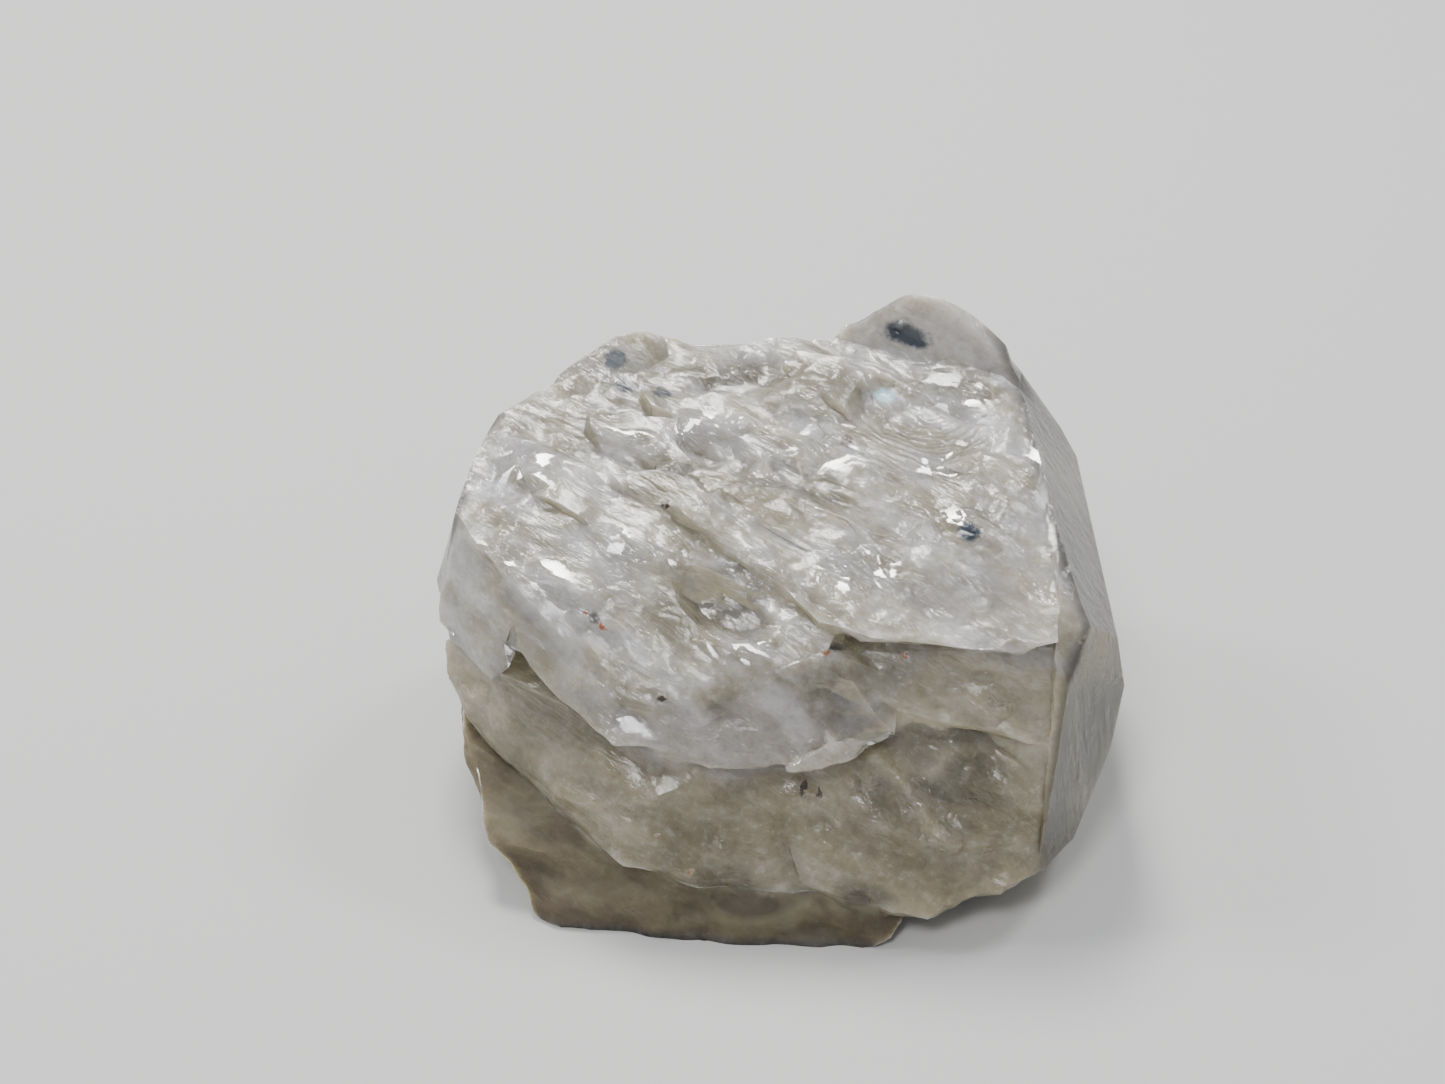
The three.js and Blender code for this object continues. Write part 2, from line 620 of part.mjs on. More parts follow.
// Height of the relief at a point: ridged splinters along the grain, and finer grit on them.
function relief(point) {
  const along = point.dot(GRAIN);
  const place = point.clone().addScaledVector(GRAIN, -along).divideScalar(SPLINTER_WIDTH);
  place.addScaledVector(GRAIN, along / SPLINTER_LENGTH);
  const splinter = 0.5 - 2 * Math.abs(perlin.noise(place.x, place.y, place.z));
  const spot = point.clone().divideScalar(GRIT_SIZE).add(GRIT_OFFSET);
  const grit = perlin.noise(spot.x, spot.y, spot.z);
  const height = splinter * SPLINTER_RELIEF + grit * GRIT_RELIEF;
  return SMOOTH_PATCHES.reduce((kept, { at, radius, keep }) => {
    const distance = point.distanceTo(new THREE.Vector3(...at));
    const outside = THREE.MathUtils.smoothstep(distance, radius * PATCH_HEART, radius);
    return kept * THREE.MathUtils.lerp(keep, 1, outside);
  }, height);
}

// 0 on a natural face or the base, rising to 1 away from all of them.
function brokenness(point) {
  const depths = [...NATURAL_FACES, BASE].map((plane) => (
    new THREE.Vector3(...plane.through).sub(point).dot(outwardOf(plane))));
  return THREE.MathUtils.smoothstep(Math.min(...depths), FLAT_SKIN, RELIEF_MARGIN);
}

function roughen(geometry) {
  geometry.computeVertexNormals();
  const position = geometry.attributes.position;
  const normal = geometry.attributes.normal;
  const point = new THREE.Vector3();
  const outward = new THREE.Vector3();
  for (let i = 0; i < position.count; i += 1) {
    point.fromBufferAttribute(position, i);
    outward.fromBufferAttribute(normal, i);
    point.addScaledVector(outward, relief(point) * brokenness(point));
    position.setXYZ(i, point.x, point.y, point.z);
  }
}

// -------------------------------------------------------------------------------------------------------
// The crystal
// -------------------------------------------------------------------------------------------------------

function crystalGeometry() {
  const random = randomStream(PLATE_SEED);
  const plates = Array.from({ length: PLATE_COUNT }, () => plateSolid(random));
  const added = [...Object.values(SLABS).map(slabSolid), ...Object.values(RIBS).map(ribSolid), ...plates];
  const taken = [...Object.values(HOLLOWS).map(hollowSolid), ...[...NATURAL_FACES, BASE].map(beyondPlane)];
  const joined = added.reduce((whole, piece) => whole.add(piece));
  const solid = taken.reduce((whole, piece) => whole.subtract(piece), joined);
  const mesh = new EvenMesh(solid);
  mesh.even(FACET_EDGE, EVEN_ROUNDS);
  const geometry = mesh.geometry();
  roughen(geometry);
  return geometry;
}

const geometry = crystalGeometry();
geometry.computeBoundingBox();
const middle = geometry.boundingBox.getCenter(new THREE.Vector3());
geometry.translate(-middle.x, -middle.y, 0);
geometry.computeVertexNormals();

const material = new THREE.MeshStandardMaterial({ color: 0xc9c5bc, roughness: 0.3, metalness: 0 });
const crystal = new THREE.Mesh(geometry, material);
crystal.name = "phenakite_crystal";

const part = new THREE.Group();
part.name = "phenakite";
part.add(crystal);

export default part;
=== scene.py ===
"""Dresses a broken phenakite crystal and sets up a plain studio around it.

The crystal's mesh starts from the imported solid. It is subdivided, keeps its sharp edges, and gets the
fine splinters, steps and ripples of a fracture. Its finish is part clear and part milky.

Lengths are in millimetres unless a name or comment says otherwise, and become metres at the last step.
"""

from __future__ import annotations

import logging
import math
from dataclasses import dataclass, field, fields
from enum import Enum
from functools import reduce

import bpy
import numpy as np
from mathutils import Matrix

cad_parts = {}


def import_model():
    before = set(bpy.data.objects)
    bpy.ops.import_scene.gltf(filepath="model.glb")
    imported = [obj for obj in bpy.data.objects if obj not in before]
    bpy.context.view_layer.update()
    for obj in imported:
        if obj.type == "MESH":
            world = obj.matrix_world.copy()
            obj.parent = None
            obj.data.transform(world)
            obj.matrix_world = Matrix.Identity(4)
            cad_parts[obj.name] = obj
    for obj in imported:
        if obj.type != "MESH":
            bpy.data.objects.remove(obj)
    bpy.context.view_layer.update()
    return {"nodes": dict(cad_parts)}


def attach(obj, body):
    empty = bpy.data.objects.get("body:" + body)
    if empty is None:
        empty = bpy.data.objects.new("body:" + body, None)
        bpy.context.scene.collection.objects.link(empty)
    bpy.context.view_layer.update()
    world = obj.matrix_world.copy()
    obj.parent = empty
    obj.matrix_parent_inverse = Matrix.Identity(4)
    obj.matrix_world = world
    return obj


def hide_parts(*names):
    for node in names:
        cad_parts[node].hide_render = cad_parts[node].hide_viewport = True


log = logging.getLogger("phenakite")

MM = 0.001
NODE = "phenakite_crystal"

# The share of its radius up to which a marked place is marked in full, in the finish and on the mesh.
CLOUD_CORE = 0.5
PATCH_CORE = 0.35

Colour = tuple[float, float, float]
Point = tuple[float, float, float]
Range = tuple[float, float]

# The average of a noise texture, as a number and as a colour.
NOISE_MEAN = 0.5
MEAN_COLOUR: Colour = (0.5, 0.5, 0.5)


class Layer(Enum):
    """The values from 0 to 1 that the crystal's mesh carries for its finish."""

    BROKEN = "broken"  # the break, not a flat face
    TOP = "top"
    LOW = "low"  # the foot, whose colour is painted dark as shadow
    GLINT = "glint"  # where the break sparkles
    CLEAR = "clear"
    EDGE = "edge"  # the edges that bulge, which carry a painted highlight
    POLISH = "polish"  # where the break is smooth
    FROST = "frost"  # where the stone is evenly milky
    SPOT = "spot"  # the inclusions and the painted pale blue glint


class Seed(Enum):
    """The patterns of the noise that shapes the mesh."""

    BEND = 4
    SPLINTERS = 7
    STEPS = 9
    HACKLES = 12
    SHELVES = 17
    DRIFT_X = 21
    DRIFT_Y = 22
    DRIFT_Z = 23
    CHIPS = 31
    SMALL_CHIPS = 32


# --- Shader maths ---


class Signal:
    """A node's output socket, with the maths that the finishes use."""

    def __init__(self, bench: "Bench", socket: bpy.types.NodeSocket) -> None:
        """Keeps the socket and the bench that adds nodes behind it.

        Args:
            bench: the bench whose node tree holds the socket.
            socket: the output socket.
        """
        self.bench = bench
        self.socket = socket

    def _is_vector(self, other: "Operand") -> bool:
        """Returns whether this or the other operand is a vector."""
        if isinstance(other, Signal) and other.socket.type == "VECTOR":
            return True
        return self.socket.type == "VECTOR" or isinstance(other, tuple)

    def _combine(self, operation: str, first: "Operand", second: "Operand") -> "Signal":
        """Adds a Math or Vector Math node.

        Args:
            operation: the node's operation.
            first: the first operand.
            second: the second operand.

        Returns:
            The node's result.
        """
        if not self._is_vector(second if first is self else first):
            return self.bench.node("ShaderNodeMath", {"operation": operation}, {0: first, 1: second})
        operands = {0: _as_vector(first), 1: _as_vector(second)}
        return self.bench.node("ShaderNodeVectorMath", {"operation": operation}, operands)

    def __add__(self, other: "Operand") -> "Signal":
        """Returns the sum."""
        return self._combine("ADD", self, other)

    def __radd__(self, other: "Operand") -> "Signal":
        """Returns the sum."""
        return self._combine("ADD", other, self)

    def __sub__(self, other: "Operand") -> "Signal":
        """Returns the difference."""
        return self._combine("SUBTRACT", self, other)

    def __rsub__(self, other: "Operand") -> "Signal":
        """Returns the difference."""
        return self._combine("SUBTRACT", other, self)

    def __mul__(self, other: "Operand") -> "Signal":
        """Returns the product."""
        return self._combine("MULTIPLY", self, other)

    def __rmul__(self, other: "Operand") -> "Signal":
        """Returns the product."""
        return self._combine("MULTIPLY", other, self)

    def beside(self, output: str) -> "Signal":
        """Returns another output of the same node."""
        return Signal(self.bench, self.socket.node.outputs[output])

    def clamped(self) -> "Signal":
        """Returns the value held between 0 and 1."""
        return self.bench.node("ShaderNodeClamp", {}, {"Value": self})

    def larger(self, other: "Operand") -> "Signal":
        """Returns the larger of the two values."""
        return self._combine("MAXIMUM", self, other)

    def dot(self, other: "Operand") -> "Signal":
        """Returns the dot product with another vector."""
        return self.bench.node(
            "ShaderNodeVectorMath", {"operation": "DOT_PRODUCT"}, {0: self, 1: other}, out="Value"
        )

    def length(self) -> "Signal":
        """Returns the vector's length."""
        return self.bench.node("ShaderNodeVectorMath", {"operation": "LENGTH"}, {0: self}, out="Value")

    def step(self, low: float, high: float, start: float = 0.0, end: float = 1.0) -> "Signal":
        """Maps a range of the value smoothly to another range.

        Args:
            low: the value where the step starts.
            high: the value where it ends.
            start: the result at low.
            end: the result at high.

        Returns:
            The mapped value.
        """
        sockets = {"Value": self, 1: low, 2: high, 3: start, 4: end}
        return self.bench.node("ShaderNodeMapRange", {"interpolation_type": "SMOOTHSTEP"}, sockets)


Operand = Signal | float | Point


def _as_vector(operand: Operand) -> Operand:
    """Returns a number as a vector of three equal numbers, and anything else as it is."""
    return (operand,) * 3 if isinstance(operand, (int, float)) else operand


class Bench:
    """Builds the nodes of one material or world."""

    def __init__(self, tree: bpy.types.NodeTree) -> None:
        """Clears the tree.

        Args:
            tree: the node tree to build in.
        """
        tree.nodes.clear()
        self.tree = tree

    def node(
        self,
        kind: str,
        settings: dict[str, object],
        sockets: dict[int | str, Operand | Colour],
        out: int | str = 0,
    ) -> Signal:
        """Adds a node.

        Args:
            kind: the node's type.
            settings: its properties, set before its sockets.
            sockets: the value or the signal of each input, by name or place.
            out: which output is wanted.

        Returns:
            The wanted output.
        """
        made = self.tree.nodes.new(kind)
        for name, value in settings.items():
            setattr(made, name, value)
        for key, value in sockets.items():
            target = made.inputs[key]
            if isinstance(value, Signal):
                self.tree.links.new(value.socket, target)
            elif target.type == "RGBA" and len(value) == 3:
                target.default_value = (*value, 1.0)
            else:
                target.default_value = value
        return Signal(self, made.outputs[out]) if len(made.outputs) else Signal(self, None)

    def mix(self, share: Operand, first: Operand | Colour, second: Operand | Colour) -> Signal:
        """Mixes two colours.

        Args:
            share: how much of the second shows.
            first: the first colour.
            second: the second colour.

        Returns:
            The mixed colour.
        """
        sockets = {"Factor": share, 6: first, 7: second}
        return self.node("ShaderNodeMix", {"data_type": "RGBA"}, sockets, out=2)

    def layer(self, layer: Layer) -> Signal:
        """Returns one of the values that the mesh carries."""
        return self.node("ShaderNodeAttribute", {"attribute_name": layer.value}, {}, out="Fac")

    def place(self) -> Signal:
        """Returns the place on the object, in millimetres."""
        return self.node("ShaderNodeTexCoord", {}, {}, out="Object") * (1 / MM)

    def stretched(self, place: Signal, share: float) -> Signal:
        """Turns a place to the grain.

        Args:
            place: the place on the stone.
            share: the scale along the grain.

        Returns:
            The place along the grain, across it and off it.
        """
        return self.node(
            "ShaderNodeCombineXYZ",
            {},
            {
                0: place.dot(tuple(GRAIN)) * share,
                1: place.dot(tuple(ACROSS)),
                2: place.dot(tuple(OFF_GRAIN)),
            },
        )

    def cloud(self, place: Signal, middle: Point, radii: Point) -> Signal:
        """Marks an ellipsoid.

        Args:
            place: where the mark is read.
            middle: the ellipsoid's middle.
            radii: its radii.

        Returns:
            1 in the middle, down to 0 outside.
        """
        inverse = tuple(1 / radius for radius in radii)
        return ((place - middle) * inverse).length().step(CLOUD_CORE, 1.0, 1.0, 0.0)


@dataclass(frozen=True)
class NoiseForm:
    """The form of a noise texture."""

    scale: float  # waves in one unit
    detail: float  # octaves
    roughness: float = 0.5
    distortion: float = 0.0

    def over(self, bench: Bench, place: Signal) -> Signal:
        """Adds the texture.

        Args:
            bench: adds the nodes.
            place: where the noise is read.

        Returns:
            The noise, which is NOISE_MEAN on average.
        """
        sockets = {
            "Vector": place,
            "Scale": self.scale,
            "Detail": self.detail,
            "Roughness": self.roughness,
            "Distortion": self.distortion,
        }
        return bench.node("ShaderNodeTexNoise", {}, sockets, out="Fac")


# --- Numbers: noise, directions and a mesh that subdivides ---

LATTICE = 256
JOINED_DECIMALS = 4  # vertices that agree to so many decimals of a millimetre are one


def unit(vectors: np.ndarray) -> np.ndarray:
    """Returns vectors at a length of 1."""
    return vectors / np.linalg.norm(vectors, axis=-1, keepdims=True)


def direction(azimuth: float, lean: float) -> np.ndarray:
    """Works out a unit vector.

    Args:
        azimuth: degrees from +X towards +Y.
        lean: degrees above the horizontal.

    Returns:
        The vector.
    """
    turn, tip = math.radians(azimuth), math.radians(lean)
    return np.array([math.cos(turn) * math.cos(tip), math.sin(turn) * math.cos(tip), math.sin(tip)])


def smooth_step(value: np.ndarray, low: float, high: float) -> np.ndarray:
    """Maps values from low to high smoothly to values from 0 to 1.

    Args:
        value: the values.
        low: where the step starts.
        high: where it ends.

    Returns:
        The mapped values.
    """
    share = np.clip((value - low) / (high - low), 0, 1)
    return share * share * (3 - 2 * share)


@dataclass
class SolidNoise:
    """Gradient noise in space, the same on every run. It repeats after LATTICE units."""

    seed: Seed
    order: np.ndarray = field(init=False)
    slopes: np.ndarray = field(init=False)

    def __post_init__(self) -> None:
        """Draws the lattice."""
        stream = np.random.default_rng(self.seed.value)
        self.order = np.concatenate([stream.permutation(LATTICE)] * 2)
        self.slopes = unit(stream.normal(size=(LATTICE, 3)))

    def at(self, places: np.ndarray) -> np.ndarray:
        """Reads the noise.

        Args:
            places: an array of points.

        Returns:
            One value for each point, mostly from -0.7 to 0.7.
        """
        base = np.floor(places).astype(int)
        inner = places - base
        ease = inner**3 * (inner * (inner * 6 - 15) + 10)
        total = np.zeros(len(places))
        for corner in np.ndindex(2, 2, 2):
            cell = (base + corner) % LATTICE
            key = self.order[self.order[self.order[cell[:, 0]] + cell[:, 1]] + cell[:, 2]]
            offset = inner - corner
            weight = np.prod(np.where(np.array(corner) == 1, ease, 1 - ease), axis=1)
            total += weight * np.einsum("ij,ij->i", self.slopes[key], offset)
        return total


@dataclass
class FineMesh:
    """A closed triangle mesh that keeps its sharp edges as it is subdivided."""

    points: np.ndarray
    faces: np.ndarray
    sharp: np.ndarray

    @classmethod
    def from_object(cls, source: bpy.types.Object, sharp_angle: float) -> "FineMesh":
        """Reads an object's mesh, with vertices at one place joined.

        Args:
            source: the object.
            sharp_angle: edges that turn by more than this many degrees are sharp.

        Returns:
            The mesh, in millimetres.
        """
        raw = np.zeros(len(source.data.vertices) * 3)
        source.data.vertices.foreach_get("co", raw)
        source.data.calc_loop_triangles()
        faces = np.zeros(len(source.data.loop_triangles) * 3, dtype=int)
        source.data.loop_triangles.foreach_get("vertices", faces)
        raw = raw.reshape(-1, 3) / MM
        _, first, merged = np.unique(
            np.round(raw, JOINED_DECIMALS), axis=0, return_index=True, return_inverse=True
        )
        faces = merged.reshape(-1)[faces].reshape(-1, 3)
        mesh = cls(raw[first], faces, np.zeros((0, 2), dtype=int))
        mesh.sharp = mesh.turning_edges(sharp_angle)
        return mesh

    def edge_table(self) -> tuple[np.ndarray, np.ndarray]:
        """Lists the edges.

        Returns:
            The edges as pairs of vertices in rising order, and the place in that list of each face's
            edges from its first, second and third vertex.
        """
        pairs = np.sort(self.faces[:, [0, 1, 1, 2, 2, 0]].reshape(-1, 2), axis=1)
        keys, places = np.unique(pairs[:, 0] * len(self.points) + pairs[:, 1], return_inverse=True)
        return np.stack(np.divmod(keys, len(self.points)), axis=1), places.reshape(-1, 3)

    def face_normals(self) -> np.ndarray:
        """Returns each face's normal, as long as twice its area."""
        a, b, c = (self.points[self.faces[:, i]] for i in range(3))
        return np.cross(b - a, c - a)

    def vertex_normals(self) -> np.ndarray:
        """Works out the way that each vertex faces.

        Returns:
            Their unit normals.
        """
        normals = np.zeros_like(self.points)
        for i in range(3):
            np.add.at(normals, self.faces[:, i], self.face_normals())
        return unit(normals)

    def turning_edges(self, angle: float) -> np.ndarray:
        """Finds the edges that turn most.

        Args:
            angle: in degrees.

        Returns:
            The edges whose faces turn by more than the angle.
        """
        edges, places = self.edge_table()
        normals = unit(self.face_normals())
        summed = np.zeros((len(edges), 3))
        for i in range(3):
            np.add.at(summed, places[:, i], normals)
        half_turn = np.linalg.norm(summed, axis=1) / 2
        return edges[half_turn < math.cos(math.radians(angle / 2))]

    def subdivided(self) -> "FineMesh":
        """Cuts every triangle in four and rounds the smooth parts, by Loop's rule.

        Returns:
            The finer mesh.
        """
        edges, places = self.edge_table()
        count = len(self.points)
        is_sharp = np.isin(edges @ (count, 1), self.sharp @ (count, 1))
        ends = self.points[edges]
        wings = np.zeros((len(edges), 3))
        for i in range(3):
            np.add.at(wings, places[:, i], self.points[self.faces[:, (i + 2) % 3]])
        on_edges = np.where(is_sharp[:, None], ends.mean(axis=1), ends.sum(axis=1) * 3 / 8 + wings / 8)
        around, degree = self._neighbours(edges)
        beside, sharp_degree = self._neighbours(edges[is_sharp])
        beta = (5 / 8 - (3 / 8 + np.cos(2 * math.pi / degree) / 4) ** 2) / degree
        rounded = (1 - degree * beta)[:, None] * self.points + beta[:, None] * around
        on_sharp = self.points * 3 / 4 + beside / 8
        moved = np.where((sharp_degree == 2)[:, None], on_sharp, rounded)
        moved = np.where((sharp_degree > 2)[:, None], self.points, moved)
        a, b, c = self.faces.T
        ab, bc, ca = (places + count).T
        quarters = ((a, ab, ca), (ab, b, bc), (ca, bc, c), (ab, bc, ca))
        faces = np.concatenate([np.stack(corners, axis=1) for corners in quarters])
        middles = np.flatnonzero(is_sharp) + count
        halves = [np.stack([edges[is_sharp][:, i], middles], axis=1) for i in range(2)]
        return FineMesh(np.concatenate([moved, on_edges]), faces, np.concatenate(halves))

    def _neighbours(self, edges: np.ndarray) -> tuple[np.ndarray, np.ndarray]:
        """Adds up what lies across some edges.

        Args:
            edges: the edges to cross.

        Returns:
            For each vertex, the sum of the vertices across its edges, and how many there are.
        """
        summed = np.zeros_like(self.points)
        for here, there in ((0, 1), (1, 0)):
            np.add.at(summed, edges[:, here], self.points[edges[:, there]])
        return summed, np.bincount(edges.ravel(), minlength=len(self.points))

    def convexity(self, rounds: int) -> np.ndarray:
        """Measures how far the surface bulges.

        Args:
            rounds: how often the result is smoothed.

        Returns:
            For each vertex, its height over its neighbours as a share of their distance.
        """
        edges, _ = self.edge_table()
        around, degree = self._neighbours(edges)
        offset = self.points - around / degree[:, None]
        spacing = np.linalg.norm(self.points[edges[:, 0]] - self.points[edges[:, 1]], axis=1).mean()
        return self.averaged(np.einsum("ij,ij->i", offset, self.vertex_normals()) / spacing, rounds)

    def averaged(self, values: np.ndarray, rounds: int) -> np.ndarray:
        """Smooths values over the surface.

        Args:
            values: one for each vertex.
            rounds: how often each is averaged with its neighbours.

        Returns:
            The smoothed values.
        """
        edges, _ = self.edge_table()
        degree = np.bincount(edges.ravel(), minlength=len(values))
        for _ in range(rounds):
            summed = np.bincount(edges[:, 0], values[edges[:, 1]], len(values))
            summed += np.bincount(edges[:, 1], values[edges[:, 0]], len(values))
            values = (values + summed / degree) / 2
        return values

    def to_object(self, name: str, sharp_angle: float) -> bpy.types.Object:
        """Makes a Blender object.

        Args:
            name: the object's name.
            sharp_angle: edges that turn by more than this many degrees are shaded sharp.

        Returns:
            The object, linked to the scene.
        """
        mesh = bpy.data.meshes.new(name)
        mesh.vertices.add(len(self.points))
        mesh.vertices.foreach_set("co", (self.points * MM).ravel())
        mesh.loops.add(self.faces.size)
        mesh.loops.foreach_set("vertex_index", self.faces.ravel())
        mesh.polygons.add(len(self.faces))
        mesh.polygons.foreach_set("loop_start", np.arange(0, self.faces.size, 3))
        mesh.update(calc_edges=True)
        mesh.validate()
        mesh.polygons.foreach_set("use_smooth", np.ones(len(mesh.polygons), dtype=bool))
        mesh.set_sharp_from_angle(angle=math.radians(sharp_angle))
        made = bpy.data.objects.new(name, mesh)
        bpy.context.scene.collection.objects.link(made)
        return made


# --- The crystal ---

# Splinters run along GRAIN, down from the left rear to the right front.
GRAIN = unit(np.array([0.8, -0.56, -0.2]))
ACROSS = unit(np.cross([0.0, 0.0, 1.0], GRAIN))
OFF_GRAIN = np.cross(GRAIN, ACROSS)


def terraced(heights: np.ndarray, riser: Range) -> np.ndarray:
    """Cuts heights into flat steps of one unit.

    Args:
        heights: the heights.
        riser: where a step's riser starts and ends, as shares of the unit.

    Returns:
        The stepped heights.
    """
    level = np.floor(heights)
    return level + smooth_step(heights - level, *riser)


def grain_places(places: np.ndarray, length: float, width: float) -> np.ndarray:
    """Turns points to the grain and scales them.

    Args:
        places: the points.
        length: the size along the grain that becomes one unit.
        width: the size across it that becomes one unit.

    Returns:
        The turned and scaled points.
    """
    axes = ((GRAIN, length), (ACROSS, width), (OFF_GRAIN, width))
    return np.stack([places @ axis / size for axis, size in axes], axis=1)


@dataclass(frozen=True)
class FlatFace:
    """A flat face of the crystal."""

    azimuth: float  # degrees from +X towards +Y
    lean: float  # degrees above the horizontal

    def depth(self, places: np.ndarray) -> np.ndarray:
        """Returns how deep each of the crystal's points lies under the face."""
        reach = places @ direction(self.azimuth, self.lean)
        return reach.max() - reach


@dataclass(frozen=True)
class Facet:
    """A small flat that cuts off what stands out."""

    middle: Point  # a point on the flat
    faces: FlatFace
    reach: float  # how far from the middle it cuts
    core: float = 0.8  # the share of that reach where it cuts in full

    def cut(self, places: np.ndarray) -> np.ndarray:
        """Cuts off what stands out.

        Args:
            places: the points.

        Returns:
            The points, with those that stood out moved onto the flat.
        """
        normal = direction(self.faces.azimuth, self.faces.lean)
        offset = places - np.array(self.middle)
        near = 1 - smooth_step(np.linalg.norm(offset, axis=1), self.reach * self.core, self.reach)
        return places - (np.maximum(offset @ normal, 0) * near)[:, None] * normal


@dataclass(frozen=True)
class Patch:
    """An ellipsoid that marks a part of the surface."""

    middle: Point
    radii: Point
    strength: float = 1.0  # the mark in its middle

    def at(self, places: np.ndarray) -> np.ndarray:
        """Returns the mark at each point, which fades to 0 at the radii."""
        distance = np.linalg.norm((places - np.array(self.middle)) / np.array(self.radii), axis=1)
        return self.strength * (1 - smooth_step(distance, PATCH_CORE, 1.0))


def strongest(patches: tuple[Patch, ...], places: np.ndarray) -> np.ndarray:
    """Returns the strongest of the patches' marks at each point."""
    return np.max([patch.at(places) for patch in patches], axis=0)


@dataclass(frozen=True)
class Ripples:
    """Rings of a shell-like fracture."""

    middle: Point  # where the fracture started
    reach: float
    spacing: float  # from crest to crest
    height: float
    core: float = 0.5  # the share of the reach where the rings have their full height
    sharpness: float = 0.6  # below 1 for round crests with sharp valleys

    def at(self, places: np.ndarray) -> np.ndarray:
        """Works out the rings.

        Args:
            places: the points.

        Returns:
            The rings' height at each point.
        """
        radius = np.linalg.norm(places - np.array(self.middle), axis=1)
        wave = np.abs(np.sin(radius / self.spacing * math.pi)) ** self.sharpness
        return self.height * wave * (1 - smooth_step(radius, self.reach * self.core, self.reach))


@dataclass(frozen=True)
class Crest:
    """A narrow crest or groove on a broken surface."""

    line: tuple[Point, ...]
    width: float  # on each side of the line
    height: float  # below 0 for a groove
    sharpness: float = 1.3  # 1 for straight sides, more for hollow ones

    def at(self, places: np.ndarray) -> np.ndarray:
        """Works out the crest.

        Args:
            places: the points.

        Returns:
            The crest's height at each point.
        """
        nearest = np.full(len(places), np.inf)
        for start, end in zip(np.array(self.line[:-1]), np.array(self.line[1:])):
            run = end - start
            share = np.clip((places - start) @ run / (run @ run), 0, 1)
            nearest = np.minimum(nearest, np.linalg.norm(places - start - share[:, None] * run, axis=1))
        return self.height * np.maximum(1 - nearest / self.width, 0) ** self.sharpness


